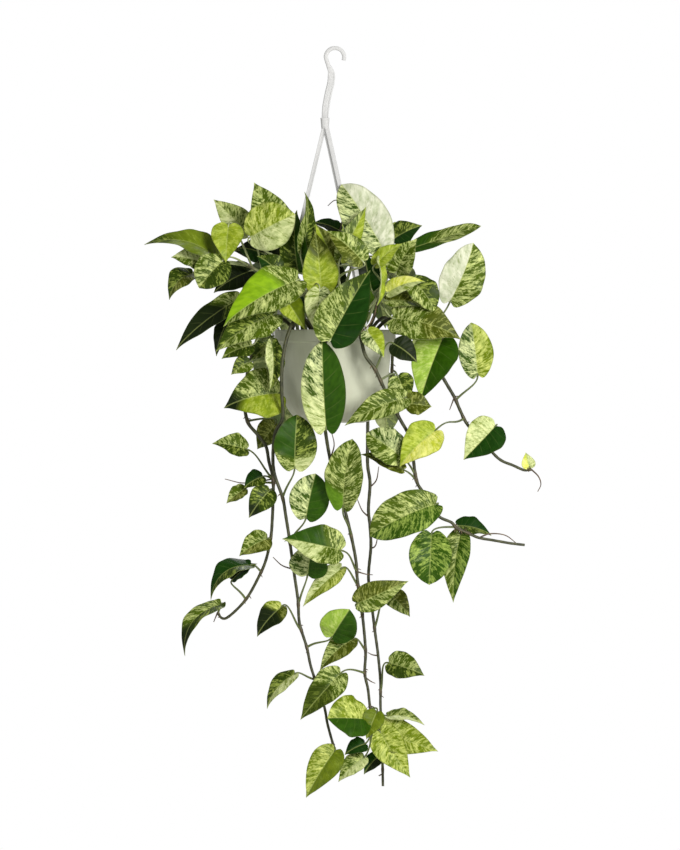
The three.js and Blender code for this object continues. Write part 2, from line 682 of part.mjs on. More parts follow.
    leaves: [
      leaf(4, [-142, -10, -266], [-238, -22, -243], 50, [-0.1, -0.6, 0.8], 0.2),
      leaf(3.6, [-133, -22, -220], [-136, -40, -266], 42, [0, -0.95, 0.2]),
      leaf(3, [-108, 14, -228], [-152, 24, -186], 38, [0, -0.95, 0.3]),
      oval(leaf(3.8, [-140, -36, -264], [-169, -52, -298], 46, [0, -0.95, 0.3])),
      leaf(4, [-168, -24, -265], [-204, -30, -259], 32, [0, -0.8, 0.55]),
      leaf(3.8, [-177, -18, -279], [-207, -26, -312], 37, [-0.5, -0.8, 0.4], 0.22),
      leaf(2.4, [-90, 20, -254], [-122, 28, -247], 34, [0, -0.9, 0.4]),
      leaf(2.6, [-106, 12, -276], [-152, 8, -303], 42, [0, -0.85, 0.5]),
    ],
    twigs: [],
  },
  {
    name: "sprig_left_front",
    color: 0x7fa33c,
    hole: [-40, -32],
    route: [
      [-44, -40, -335], [-56, -52, -312], [-76, -58, -302],
      [-100, -58, -300],
    ],
    leaves: [
      leaf(2, [-47, -76, -289], [-139, -94, -345], 64, [-0.1, -0.85, 0.5], 0.1),
      leaf(2, [-62, -72, -309], [-37, -88, -350], 32, [0, -0.9, 0.4]),
      leaf(2, [-70, -50, -279], [-97, -46, -258], 32, [-0.1, -0.8, 0.5]),
      leaf(3, [-75, -70, -331], [-148, -88, -377], 54, [-0.2, -0.85, 0.4]),
      leaf(4, [-121, -44, -312], [-199, -50, -374], 40, [-0.3, -0.75, 0.5], 0.03),
      leaf(4, [-134, -36, -338], [-148, -36, -383], 24, [-0.6, -0.8, 0.2]),
      leaf(3.5, [-104, -64, -370], [-141, -70, -386], 30, [-0.2, -0.85, 0.4]),
    ],
    twigs: [],
  },
  {
    name: "sprig_front_left",
    color: 0x8aa544,
    hole: [-22, -24],
    route: [
      [-26, -30, -325], [-34, -40, -298], [-38, -44, -280],
    ],
    leaves: [
      leaf(3, [-17, -60, -302], [-25, -56, -227], 46, [0.1, -0.95, 0.2]),
      leaf(2, [-19, -82, -301], [-21, -98, -358], 34, [-0.2, -0.95, 0.2]),
      leaf(3, [-46, -30, -277], [-48, -16, -200], 40, [-0.4, -0.9, 0]),
      leaf(3, [-43, -38, -252], [-36, -22, -178], 34, [0.8, -0.6, 0]),
    ],
    twigs: [],
  },
  {
    name: "sprig_front",
    color: 0x7da23e,
    hole: [6, -28],
    route: [
      [8, -36, -325], [6, -44, -300], [4, -50, -284],
    ],
    leaves: [
      leaf(2, [-6, -121, -364], [44, -92, -276], 66, [-0.1, -0.95, 0.25], 0.06, 0.5),
      leaf(3, [34, -80, -265], [-11, -78, -227], 36, [0, -0.9, 0.4]),
      leaf(3, [7, -75, -262], [39, -62, -197], 28, [0.2, -0.9, 0.2]),
    ],
    twigs: [],
  },
  {
    name: "sprig_right_front",
    color: 0x8da747,
    hole: [34, -30],
    route: [
      [42, -36, -335], [52, -40, -310], [60, -42, -292],
    ],
    leaves: [
      leaf(3, [66, -66, -304], [112, -70, -290], 28, [0, -0.8, 0.6], 0.14),
      oval(leaf(3, [95, -58, -288], [124, -62, -326], 38, [0.2, -0.9, 0.4])),
      leaf(2.5, [64, -54, -314], [119, -50, -322], 28, [0, -0.7, 0.7]),
      leaf(2, [73, -58, -336], [157, -64, -361], 64, [0.1, -0.85, 0.5]),
      leaf(2, [40, -94, -352], [61, -100, -385], 28, [0, -0.95, 0.3]),
      leaf(3, [54, -68, -263], [52, -76, -323], 30, [0.95, -0.3, 0]),
      leaf(3, [50, -65, -270], [84, -56, -243], 24, [0, -0.8, 0.6]),
    ],
    twigs: [
      [[52, -73, -316], [49, -84, -332], [41, -98, -346], [27, -107, -357], [14, -112, -366]],
    ],
  },
  {
    name: "sprig_right",
    color: 0x839c45,
    hole: [42, 10],
    route: [
      [50, 8, -330], [60, 4, -300], [68, 2, -275],
    ],
    leaves: [
      leaf(3, [76, -16, -279], [102, -26, -236], 42, [-0.1, -0.85, 0.5]),
      leaf(3, [73, 12, -236], [109, 16, -219], 36, [0, -0.8, 0.6]),
      oval(leaf(3, [92, -2, -249], [182, -8, -219], 28, [0, -0.7, 0.7], -0.03)),
      leaf(2, [84, -20, -302], [119, -32, -332], 46, [0.2, -0.7, 0.7]),
      leaf(2.2, [46, 18, -300], [36, 22, -252], 40, [0, -0.95, 0.2]),
    ],
    twigs: [],
  },
  {
    name: "sprig_middle_left",
    color: 0x94ab50,
    hole: [-24, 4],
    route: [
      [-30, 4, -325], [-42, -4, -298], [-50, -14, -275],
    ],
    leaves: [
      oval(leaf(3, [-105, -24, -234], [-50, -34, -206], 62, [0, -0.97, 0.2])),
      leaf(3, [-69, -4, -236], [-101, 6, -165], 56, [0.1, -0.95, 0.25]),
      leaf(1.5, [-26, 6, -316], [-60, -4, -336], 36, [0, -0.6, 0.8]),
    ],
    twigs: [],
  },
  {
    name: "sprig_middle",
    color: 0xa9b774,
    hole: [6, 4],
    route: [
      [8, 6, -320], [16, 2, -285], [24, -6, -262],
    ],
    leaves: [
      oval(leaf(3, [60, -50, -250], [8, -32, -168], 58, [0.05, -0.97, 0.2])),
      leaf(3, [6, -10, -226], [-28, -8, -216], 24, [0, -0.7, 0.7]),
      leaf(1.5, [24, -8, -308], [54, -18, -330], 40, [0, -0.5, 0.85]),
      leaf(2.6, [0, -30, -266], [-24, -34, -218], 34, [0.1, -0.95, 0.2]),
    ],
    twigs: [
      [[6, -10, -227], [10, -12, -207], [8, -12, -192], [0, -12, -188], [-9, -12, -195]],
    ],
  },
  {
    name: "sprig_back_left",
    color: 0x84a041,
    hole: [-36, 30],
    route: [
      [-40, 38, -325], [-52, 48, -290], [-60, 54, -265],
    ],
    leaves: [
      leaf(3, [-72, 62, -268], [-118, 92, -300], 48, [-0.4, 0.6, 0.7]),
      leaf(3, [-58, 66, -262], [-66, 100, -222], 46, [0, 0.5, 0.85]),
      leaf(2, [-84, 50, -302], [-138, 58, -338], 46, [-0.6, 0.4, 0.6]),
      leaf(2, [-50, 82, -300], [-66, 112, -356], 54, [-0.2, 0.95, 0.3]),
      leaf(2.6, [-66, 44, -257], [-130, 40, -249], 38, [0, -0.9, 0.4]),
    ],
    twigs: [],
  },
  {
    name: "sprig_back",
    color: 0x8aa648,
    hole: [-8, 34],
    route: [
      [-8, 42, -325], [-8, 54, -290], [-6, 62, -268],
    ],
    leaves: [
      leaf(3, [-6, 74, -262], [8, 116, -282], 54, [0, 0.7, 0.7]),
      leaf(2, [-12, 84, -302], [-20, 112, -366], 50, [-0.1, 1, 0.2]),
      leaf(3, [14, 66, -240], [30, 86, -205], 42, [0.2, 0.7, 0.6]),
      leaf(3, [-22, 60, -244], [-52, 74, -222], 38, [-0.2, 0.6, 0.8]),
      leaf(1.6, [-8, 28, -300], [-2, 30, -250], 44, [0, -0.95, 0.2]),
    ],
    twigs: [],
  },
  {
    name: "sprig_back_right",
    color: 0x7f9b42,
    hole: [30, 26],
    route: [
      [36, 34, -325], [50, 44, -295], [58, 50, -270],
    ],
    leaves: [
      leaf(3, [64, 58, -274], [106, 88, -298], 50, [0.4, 0.6, 0.7]),
      leaf(2.5, [52, 78, -294], [64, 112, -346], 52, [0.2, 1, 0.3]),
      leaf(2, [80, 44, -300], [134, 50, -342], 46, [0.6, 0.5, 0.6]),
      leaf(3, [62, 46, -238], [86, 64, -216], 36, [0.2, 0.6, 0.8]),
    ],
    twigs: [],
  },
];

function makeStem({ hole, route, leaves, twigs }) {
  const foot = [...hole, RIM_Z - SOIL_DROP - HOLE_DEPTH + GAP];
  const line = [[...hole, START_Z], ...route].map(vector);
  const pieces = [tube([vector(foot), ...line], STEM_R, STEM_SIDES)];
  leaves.forEach((one, order) => {
    const node = Math.min(one.node, line.length - 1.1);
    const k = Math.floor(node);
    const root = line[k].clone().lerp(line[k + 1], node - k);
    pieces.push(makeLeaf(one, order, root));
  });
  for (const twig of twigs) pieces.push(tube(twig.map(vector), TWIG_R, TWIG_SIDES));
  return pieces.reduce((sum, piece) => sum.add(piece));
}

// ---------------------------------------------------------------- the object
const plant = new THREE.Group();
plant.add(toMesh("pot", makePot(), 0xd9dad3, 0.5));
plant.add(toMesh("hanger_hook", makeHook(), 0xe9e9e6, 0.45));
plant.add(toMesh("hanger", makeHanger(), 0xe9e9e6, 0.45));
plant.add(toMesh("soil", makeSoil(STEMS), 0x3a2a1e, 0.95));
for (const stem of STEMS) {
  plant.add(toMesh(stem.name, makeStem(stem), stem.color, 0.5));
}

export default plant;
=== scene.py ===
"""The looks of a hanging pot of variegated pothos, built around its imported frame.

Metres, in the frame's own axes: the origin is the inner top of the hook that the plant hangs
by, +Z is up along the pot's axis and -Y is the front. Sizes below are in millimetres, as in
the part's source, and `mm` turns them into metres.
"""

import math
import random

import bmesh
import bpy
import numpy as np
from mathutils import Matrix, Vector, noise


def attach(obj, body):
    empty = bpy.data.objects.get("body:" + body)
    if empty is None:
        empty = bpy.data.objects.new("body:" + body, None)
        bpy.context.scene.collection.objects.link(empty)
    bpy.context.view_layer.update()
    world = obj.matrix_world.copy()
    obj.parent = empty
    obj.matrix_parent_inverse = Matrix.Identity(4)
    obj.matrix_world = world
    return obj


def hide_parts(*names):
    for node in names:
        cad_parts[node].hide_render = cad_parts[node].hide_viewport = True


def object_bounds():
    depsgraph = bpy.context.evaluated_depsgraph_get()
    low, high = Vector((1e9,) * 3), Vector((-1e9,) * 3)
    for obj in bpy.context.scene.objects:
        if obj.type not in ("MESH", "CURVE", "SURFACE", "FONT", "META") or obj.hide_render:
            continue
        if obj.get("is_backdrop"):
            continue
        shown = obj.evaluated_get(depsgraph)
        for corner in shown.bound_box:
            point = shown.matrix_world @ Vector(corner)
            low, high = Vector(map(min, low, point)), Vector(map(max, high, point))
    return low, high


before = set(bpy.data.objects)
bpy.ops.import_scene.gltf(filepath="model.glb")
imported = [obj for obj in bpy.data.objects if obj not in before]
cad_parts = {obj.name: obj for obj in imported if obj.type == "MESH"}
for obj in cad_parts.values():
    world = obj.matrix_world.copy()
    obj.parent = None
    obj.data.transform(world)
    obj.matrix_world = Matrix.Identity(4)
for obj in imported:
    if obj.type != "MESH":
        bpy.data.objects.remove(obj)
cad_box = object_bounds()

# ---------------------------------------------------------------- sizes, in millimetres
RIM_Z = -350                # top of the rim, below the hook
RIM_R = 76                  # outer radius of the rim band
RIM_BAND = 15               # height of the rim band
RIM_THICK = 4.2
RIM_ROUND = 1.3             # rounding of the rim's top
BAND_ROUND = 1              # rounding of the band's lower edge
BAND_HOLLOW = 0.25          # how far the band's middle is sunk
NECK_ROUND = 1.4            # rounding of the corner between the wall and the band
POT_HEIGHT = 116
POT_TOP_R = 71              # radius of the wall under the rim band
POT_LOW_R = 65.5            # radius of the wall above the rounded foot
POT_FOOT_R = 32             # radius of the flat underside
UNDERSIDE = [(-9, 1.6), (-8, .6), (-6.6, 0), (-3, 0)]   # its recess: out from its edge, and up
FOOT_RISE = 42              # height of the rounded foot
WALL = 2.4
DRAIN_HOLES = 5
DRAIN_R = 4
DRAIN_RING_R = 22
SOIL_DROP = 15              # from the rim down to the soil's edge
SOIL_DOME = 5               # how much higher the soil's middle is
GAP = 0.4                   # clearance between pieces
HOLE_DEPTH = 55             # of the stems' holes in the soil
START_Z = -358              # where the stems start to lean, just above the soil
STEM_R = 2.3
PETIOLE_R = 1.15
TWIG_R = 1.1
BUD_R = 0.75                # of a root's bud
BLADE = 0.62                # thickness of a leaf

HOOK_R = 9                  # inner radius of the hook
HOOK_BAR = 5                # size of the hook's bar in the plane of the hook
HOOK_THICK = 4
HOOK_FROM = -20             # the hook's free end, degrees round its middle
HOOK_TO = 180
HOOK_STEP = 20
# Places on the hanger seen from the front are (x, z).
NECK = (-9.5, -16)
NECK_END = (-7.2, -23)
STRAP_TOP = (-8.2, -19.4)
STRAP_ROUTE = [(-4.8, -28), (-5, -40), (-8.5, -55), (-11.5, -72), (-12.5, -88), (-12.5, -97)]
STRAP_WIDTH = 9
STRAP_THICK = 2.6
RIB_PLACE = 0.36            # of the strap's ribs from its middle, as a share of its width
RIB_WIDTH = 1.1
RIB_RISE = 0.9              # how much thicker the strap is there
SPLIT = (-12.5, 0, -92)     # where the strap parts into three arms
KNUCKLE_HALF = 7            # half the knuckle's height
KNUCKLE_TOP = 11.4          # its size at its top
KNUCKLE_TAPER = 2.6         # how much smaller it is at its foot
ARM_WIDTH = 6.5
ARM_THICK = 5.2
ARM_ANGLES = (180, 60, -60)
ARM_BOW = (0, 4, 4)         # how far each arm bows out, pressed by the leaves
CLIP_THICK = 2.2
CLIP_DROP = 6               # how far a clip reaches down inside the rim
CLIP_CATCH = 2.6            # how far its catch reaches under the rim band

# The photograph: 680 by 850 pixels of 1.25 mm, with the pot's axis at x = 335 and the
# hook's inner top at y = 50.
PIXEL = 1.25
IMAGE = (680, 850)
AXIS_X, HOOK_Y = 335, 50
CAMERA_AWAY = 12.0          # metres


def mm(*values):
    """Millimetres to metres: a number, or a point."""
    if len(values) == 1 and np.ndim(values[0]) == 0:
        return values[0] / 1000
    point = values[0] if len(values) == 1 else values
    return np.asarray(point, float) / 1000


# ---------------------------------------------------------------- leaf colours
# Each half of a leaf, and some tips, has one of these: a deep green, a pale colour, and the
# share of its surface that is deep. Colours are linear.
LOOKS = {
    "c": ((.17, .23, .03), (.56, .62, .29), .32),       # cream, with a few green flecks
    "p": ((.32, .36, .20), (.57, .60, .45), .22),       # palest cream
    "s": ((.035, .075, .002), (.56, .62, .29), .44),    # cream with bold dark streaks
    "v": ((.060, .10, .003), (.52, .59, .21), .52),     # even marbling
    "m": ((.026, .050, .001), (.30, .37, .07), .58),    # dark marbling
    "x": ((.14, .20, .003), (.52, .58, .15), .46),      # lime marbling
    "z": ((.026, .070, .001), (.27, .37, .07), .52),    # deep green with bright streaks
    "g": ((.19, .34, .006), (.24, .37, .02), .92),      # plain bright green
    "h": ((.10, .21, .010), (.16, .28, .03), .85),      # plain fresh green
    "e": ((.022, .070, .001), (.05, .11, .003), .86),   # plain deep green
    "d": ((.007, .037, .001), (.022, .07, .002), .86),  # plain dark green
    "f": ((.12, .17, .006), (.20, .27, .03), .70),      # plain olive green
    "a": ((.27, .42, .05), (.44, .56, .15), .50),       # pale green
    "l": ((.24, .32, .015), (.42, .50, .08), .50),      # lime
    "y": ((.46, .51, .04), (.68, .70, .20), .40),       # yellow young leaf
    "o": ((.06, .08, .002), (.32, .35, .09), .55),      # olive
    "n": ((.03, .05, .001), (.12, .16, .02), .60),      # dark olive
    "k": ((.008, .016, .002), (.03, .045, .01), .80),   # nearly black, in the shade
}


# ---------------------------------------------------------------- leafy stems
def leaf(look, node, base, tip, width, face=(0, -1, .3), arch=.08, rise=.12, oval=False):
    """A leaf. `node` counts along its stem's route from the soil at 0, `base` is where the
    petiole meets the blade, and `face` is the way that the upper side looks. `arch` is how
    far the midrib bows and `rise` how far the petiole does, each as a share of its length.
    `look` holds letters of LOOKS: the half on the image's left, or above, then the other
    half, then the tip, or its two halves, and the tenth of the length where that starts."""
    return {"look": look, "node": node, "base": base, "tip": tip, "width": width,
            "face": face, "arch": arch, "rise": rise, "oval": oval}


def oval(*values):
    """A leaf that is full and oval, and not pointed."""
    return {**leaf(*values), "oval": True}


def stem(name, hole, route, leaves, twigs=()):
    """A stem from its hole in the soil, with its leaves and its dried sheaths and roots."""
    return {"name": name, "hole": hole, "route": route, "leaves": leaves, "twigs": twigs}


STEMS = [
    stem("vine_left", (-52, -18), [
        (-57, -20, -343), (-72, -27, -334), (-86, -33, -342),
        (-98, -38, -365), (-108, -42, -400), (-113, -44, -435), (-109, -46, -464), (-97, -50, -480),
        (-86, -54, -495), (-82, -58, -515), (-77, -60, -536), (-77, -60, -561), (-78, -60, -587),
        (-80, -59, -610), (-86, -58, -637), (-95, -57, -658), (-111, -56, -686), (-132, -54, -707),
        (-141, -53, -709), (-146, -52, -702),
    ], [
        leaf("mv", 4.5, (-78, -48, -360), (-104, -54, -388), 32),
        leaf("cm", 4.2, (-79, -72, -366), (-81, -78, -427), 36, (0.75, -0.65, 0)),
        leaf("mv", 5, (-106, -72, -390), (-129, -78, -406), 24),
        leaf("vlk8", 5.5, (-69, -64, -429), (-138, -74, -447), 69, (0, -0.9, 0.4)),
        leaf("oo", 7, (-74, -34, -467), (-97, -32, -499), 34),
        leaf("vm", 11, (-110, -66, -499), (-152, -78, -491), 37, (-0.1, -0.75, 0.6), 0.08, -0.05),
        leaf("dm", 11, (-90, -62, -533), (-113, -66, -547), 28, (-0.3, -0.8, 0.4)),
        leaf("vo", 11.2, (-112, -58, -548), (-135, -58, -566), 24, (-0.3, -0.8, 0.5)),
        leaf("mmk", 12, (-81, -68, -550), (-107, -74, -584), 34),
        leaf("vo", 14, (-84, -66, -610), (-119, -74, -631), 36, (-0.1, -0.8, 0.5)),
        leaf("dm", 15.7, (-105, -62, -643), (-155, -70, -685), 39, (-0.5, -0.6, 0.6), 0.26),
        leaf("kd", 17, (-127, -58, -661), (-97, -56, -641), 26, (-0.3, -0.6, 0.7)),
        leaf("vmk", 20, (-142, -52, -692), (-188, -60, -755), 34, (-0.5, -0.6, 0.6), 0.24),
    ], twigs=[
        [(-77, -60, -536), (-112, -56, -541), (-137, -54, -536)],
        [(-146, -52, -702), (-151, -52, -714)],
    ]),
    stem("vine_left_front", (-30, -46), [
        (-34, -53, -343), (-44, -68, -334), (-54, -80, -345),
        (-62, -86, -370), (-66, -88, -400), (-66, -88, -430), (-65, -86, -460), (-74, -84, -478),
        (-77, -82, -506), (-75, -80, -530), (-65, -80, -559), (-61, -79, -582), (-56, -78, -614),
        (-51, -78, -651), (-46, -78, -686), (-44, -78, -715), (-35, -78, -745), (-29, -78, -772),
        (-14, -80, -816), (-9, -82, -841), (-1, -84, -870),
    ], [
        oval("vcem4", 11, (-50, -96, -522), (-47, -98, -456), 54, (0.1, -1, 0.1)),
        oval("se", 13, (-36, -87, -584), (-24, -89, -529), 50, (0, -1, 0.1)),
        leaf("se", 15.2, (-34, -84, -655), (-26, -88, -610), 50, (0, -1, 0.1)),
        leaf("xokk4", 16.3, (-66, -84, -694), (-97, -88, -731), 35, (-0.3, -0.85, 0.4), 0.08, -0.05),
        oval("ae", 17, (-4, -92, -732), (18, -108, -697), 48, (0, -1, -0.3)),
        leaf("mc", 18.3, (-50, -84, -778), (-85, -88, -820), 28, (-0.3, -0.7, 0.6), 0.16, -0.05),
        leaf("xf", 20.9, (0, -92, -872), (-36, -96, -931), 42, (-0.1, -0.95, 0.2)),
    ], twigs=[
        [(-52, -78, -648), (-66, -76, -643), (-77, -72, -633)],
    ]),
    stem("vine_front", (-4, -52), [
        (-6, -60, -343), (-8, -76, -334), (-10, -90, -343),
        (-12, -95, -370), (-14, -96, -410), (-14, -94, -450), (-12, -90, -475), (-7, -84, -506),
        (0, -78, -537), (12, -74, -574), (20, -72, -606), (26, -70, -637), (28, -70, -662),
        (34, -70, -704), (38, -70, -749), (37, -70, -777), (41, -70, -797), (44, -70, -821),
        (50, -70, -840),
    ], [
        oval("cese5", 5.6, (-11, -106, -473), (-16, -112, -364), 56, (-0.05, -1, 0.12), 0.05, 0),
        oval("hvvv4", 11, (10, -109, -570), (21, -109, -486), 49, (-0.3, -1, 0)),
        leaf("vvec5", 12.6, (7, -98, -624), (-65, -104, -609), 54, (0, -0.9, 0.4)),
        leaf("cx", 13.2, (8, -70, -647), (-40, -76, -694), 30, (-0.2, -0.8, 0.5)),
        leaf("ov", 14, (28, -84, -690), (91, -88, -662), 38, (0.1, -0.9, 0.3)),
        leaf("vo", 15, (22, -78, -735), (-19, -84, -773), 32, (-0.2, -0.85, 0.4), 0.14),
        leaf("vvnn5", 16, (7, -90, -777), (-43, -98, -834), 43, (-0.1, -0.85, 0.45)),
        oval("xe", 18, (39, -76, -834), (-9, -104, -832), 58, (0, -0.85, 0.4)),
        leaf("ff", 18, (52, -74, -825), (39, -80, -859), 28),
        leaf("dd", 19, (37, -72, -865), (12, -78, -878), 26, (-0.2, -0.8, 0.5)),
        leaf("vc", 19, (36, -70, -882), (4, -74, -912), 28, (-0.2, -0.85, 0.4)),
    ], twigs=[
        [(-6, -84, -511), (-1, -88, -494), (-4, -95, -478)],
        [(25, -70, -650), (38, -68, -654), (47, -66, -655)],
        [(36, -70, -781), (44, -66, -787), (50, -62, -790)],
    ]),
    stem("vine_back", (8, 48), [
        (10, 58, -343), (14, 76, -334), (20, 90, -344),
        (30, 94, -372), (38, 92, -410), (41, 86, -450), (41, 80, -487), (41, 76, -519),
        (44, 72, -542), (42, 68, -574), (44, 64, -597), (45, 60, -622), (42, 56, -660),
        (46, 52, -694), (50, 47, -727), (54, 42, -757), (57, 37, -792), (57, 33, -821),
        (59, 27, -869), (60, 22, -921),
    ], [
        leaf("vm", 3.5, (20, 112, -360), (8, 128, -420), 54, (0, 1, 0.3)),
        leaf("mv", 5, (46, 106, -400), (58, 116, -455), 46, (0.2, 1, 0.2)),
        leaf("vo", 14.9, (69, 40, -681), (94, 36, -709), 30, (0.2, -0.85, 0.4)),
        leaf("vm", 17.4, (68, 30, -767), (112, 24, -782), 41, (0, -0.85, 0.5)),
        leaf("vc", 18.3, (66, 22, -833), (112, 16, -844), 24, (0.1, -0.6, 0.8), 0.15),
        leaf("xx", 18.5, (54, 16, -851), (129, 6, -876), 50, (0.1, -0.9, 0.4), 0.02),
        leaf("xx", 19, (56, 8, -852), (94, -4, -909), 44, (0, -0.95, 0.2)),
        leaf("dk", 19.6, (56, 20, -882), (36, 16, -906), 22, (-0.2, -0.9, 0.3)),
    ], twigs=[
        [(44, 71, -547), (52, 68, -538), (55, 66, -521)],
        [(42, 67, -584), (34, 62, -576), (28, 58, -562)],
        [(45, 60, -624), (51, 58, -620), (54, 56, -606)],
        [(54, 42, -758), (47, 40, -757), (41, 38, -754)],
    ]),
    stem("vine_right_front", (17, -47), [
        (19, -56, -343), (22, -74, -334), (29, -88, -346),
        (37, -92, -381), (50, -90, -400), (66, -86, -434), (81, -82, -462), (91, -79, -480),
        (96, -77, -500), (101, -75, -537), (111, -72, -554), (125, -68, -572), (130, -67, -583),
        (145, -65, -590), (151, -64, -597), (165, -62, -603), (179, -60, -609), (196, -58, -612),
        (219, -56, -616), (236, -54, -618),
    ], [
        leaf("kk", 5, (73, -94, -368), (102, -94, -391), 34, (0.2, -0.9, 0.3)),
        leaf("vm", 5.4, (78, -82, -408), (91, -84, -440), 34),
        leaf("vv", 6.4, (87, -98, -435), (12, -106, -469), 38, (0, -0.9, 0.4)),
        leaf("oo", 6.6, (89, -90, -442), (120, -84, -446), 36, (0.1, -0.85, 0.5)),
        oval("sv", 9.8, (84, -84, -510), (39, -84, -479), 46, (0, -0.9, 0.4)),
        leaf("oo", 10, (84, -80, -524), (32, -78, -505), 26, (0, -0.75, 0.6)),
        oval("vz", 12, (125, -84, -567), (43, -90, -606), 59, (0, -0.9, 0.4), 0.14),
        oval("zz", 14.8, (120, -68, -604), (117, -74, -667), 54, (0, -1, 0.2)),
        leaf("vz", 16, (156, -56, -604), (147, -60, -690), 36, (-0.2, -0.95, 0.1)),
        leaf("dm", 15.3, (152, -46, -594), (195, -42, -606), 32, (0.1, -0.7, 0.7)),
    ], twigs=[
        [(179, -60, -609), (193, -57, -604), (212, -56, -606), (227, -55, -617)],
    ]),
    stem("vine_right", (52, -8), [
        (57, -8, -344), (72, -8, -335), (88, -9, -340),
        (104, -10, -356), (120, -12, -382), (135, -14, -410), (149, -15, -434), (156, -16, -450),
        (166, -17, -469), (191, -18, -497), (206, -18, -512), (222, -18, -519), (236, -18, -525),
        (245, -18, -524),
    ], [
        oval("pv", 4.5, (144, -10, -314), (173, -20, -242), 57, (0.4, -1, 0.25)),
        leaf("ae", 5, (134, -36, -361), (106, -46, -439), 60, (-0.2, -0.9, 0.3)),
        oval("sx", 7.2, (178, -18, -406), (170, -26, -341), 44, (0.1, -1, 0.2), 0.08, 0),
        leaf("ly", 8.6, (125, -92, -475), (80, -98, -520), 50, (-0.1, -0.9, 0.4), 0.08, -0.05),
        leaf("cd", 9.8, (200, -34, -470), (160, -42, -512), 52, (0, -0.95, 0.3)),
        leaf("yc", 13.9, (243, -18, -522), (238, -20, -503), 18, (0, -1, 0.1)),
    ], twigs=[
        [(149, -15, -434), (143, -17, -450)],
        [(245, -18, -524), (254, -18, -533), (257, -18, -543), (253, -18, -552)],
    ]),
    stem("vine_back_left", (-28, 46), [
        (-32, 54, -343), (-42, 68, -334), (-52, 80, -344),
        (-58, 88, -375), (-60, 92, -410), (-56, 94, -445),
    ], [
        leaf("vm", 3.8, (-74, 96, -372), (-98, 108, -420), 46, (-0.4, 0.9, 0.2)),
        leaf("mc", 4.7, (-46, 108, -392), (-40, 118, -455), 50, (0, 1, 0.2)),
        leaf("ev", 6, (-60, 102, -440), (-68, 108, -484), 38, (-0.1, 1, 0.1)),
    ]),
    stem("vine_back_right", (46, 30), [
        (50, 36, -343), (62, 46, -334), (70, 54, -344),
        (72, 62, -375), (71, 68, -410), (68, 72, -440),
    ], [
        leaf("mv", 3.8, (96, 66, -366), (126, 80, -410), 44, (0.5, 0.8, 0.2)),
        leaf("ve", 4.7, (78, 84, -408), (74, 100, -460), 42, (0.1, 1, 0.2)),
        leaf("cm", 6, (64, 84, -446), (66, 92, -484), 34, (0.2, 1, 0.1)),
    ]),
    stem("sprig_left", (-46, 16), [
        (-52, 16, -330), (-68, 14, -300), (-90, 4, -280),
        (-112, -4, -268),
    ], [
        leaf("ffm8", 4, (-142, -10, -266), (-238, -22, -243), 50, (-0.1, -0.6, 0.8), 0.2),
        leaf("ll", 3.6, (-133, -22, -220), (-136, -40, -266), 42, (0, -0.95, 0.2)),
        leaf("cv", 3, (-108, 14, -228), (-152, 24, -186), 38, (0, -0.95, 0.3)),
        oval("vm", 3.8, (-140, -36, -264), (-169, -52, -298), 46, (0, -0.95, 0.3)),
        leaf("cv", 4, (-168, -24, -265), (-204, -30, -259), 32, (0, -0.8, 0.55)),
        leaf("mo", 3.8, (-177, -18, -279), (-207, -26, -312), 37, (-0.5, -0.8, 0.4), 0.22),
        leaf("kd", 2.4, (-90, 20, -254), (-122, 28, -247), 34, (0, -0.9, 0.4)),
        leaf("kk", 2.6, (-106, 12, -276), (-152, 8, -303), 42, (0, -0.85, 0.5)),
    ]),
    stem("sprig_left_front", (-40, -32), [
        (-44, -40, -335), (-56, -52, -312), (-76, -58, -302),
        (-100, -58, -300),
    ], [
        leaf("vvgv4", 2, (-47, -76, -289), (-139, -94, -345), 64, (-0.1, -0.85, 0.5), 0.1),
        leaf("lf", 2, (-62, -72, -309), (-37, -88, -350), 32, (0, -0.9, 0.4)),
        leaf("dm", 2, (-70, -50, -279), (-97, -46, -258), 32, (-0.1, -0.8, 0.5)),
        leaf("mv", 3, (-75, -70, -331), (-148, -88, -377), 54, (-0.2, -0.85, 0.4)),
        leaf("vmk4", 4, (-121, -44, -312), (-199, -50, -374), 40, (-0.3, -0.75, 0.5), 0.03),
        leaf("kk", 4, (-134, -36, -338), (-148, -36, -383), 24, (-0.6, -0.8, 0.2)),
        leaf("vm", 3.5, (-104, -64, -370), (-141, -70, -386), 30, (-0.2, -0.85, 0.4)),
    ]),
    stem("sprig_front_left", (-22, -24), [
        (-26, -30, -325), (-34, -40, -298), (-38, -44, -280),
    ], [
        leaf("llo7", 3, (-17, -60, -302), (-25, -56, -227), 46, (0.1, -0.95, 0.2)),
        leaf("cs", 2, (-19, -82, -301), (-21, -98, -358), 34, (-0.2, -0.95, 0.2)),
        leaf("me", 3, (-46, -30, -277), (-48, -16, -200), 40, (-0.4, -0.9, 0)),
        leaf("vm", 3, (-43, -38, -252), (-36, -22, -178), 34, (0.8, -0.6, 0)),
    ]),
    stem("sprig_front", (6, -28), [
        (8, -36, -325), (6, -44, -300), (4, -50, -284),
    ], [
        leaf("vdmd7", 2, (-6, -121, -364), (44, -92, -276), 66, (-0.1, -0.95, 0.25), 0.06, 0.5),
        leaf("ov", 3, (34, -80, -265), (-11, -78, -227), 36, (0, -0.9, 0.4)),
        leaf("vl", 3, (7, -75, -262), (39, -62, -197), 28, (0.2, -0.9, 0.2)),
    ]),
    stem("sprig_right_front", (34, -30), [
        (42, -36, -335), (52, -40, -310), (60, -42, -292),
    ], [
        leaf("yc", 3, (66, -66, -304), (112, -70, -290), 28, (0, -0.8, 0.6), 0.14),
        oval("vm", 3, (95, -58, -288), (124, -62, -326), 38, (0.2, -0.9, 0.4)),
        leaf("ov", 2.5, (64, -54, -314), (119, -50, -322), 28, (0, -0.7, 0.7)),
        leaf("vvo6", 2, (73, -58, -336), (157, -64, -361), 64, (0.1, -0.85, 0.5)),
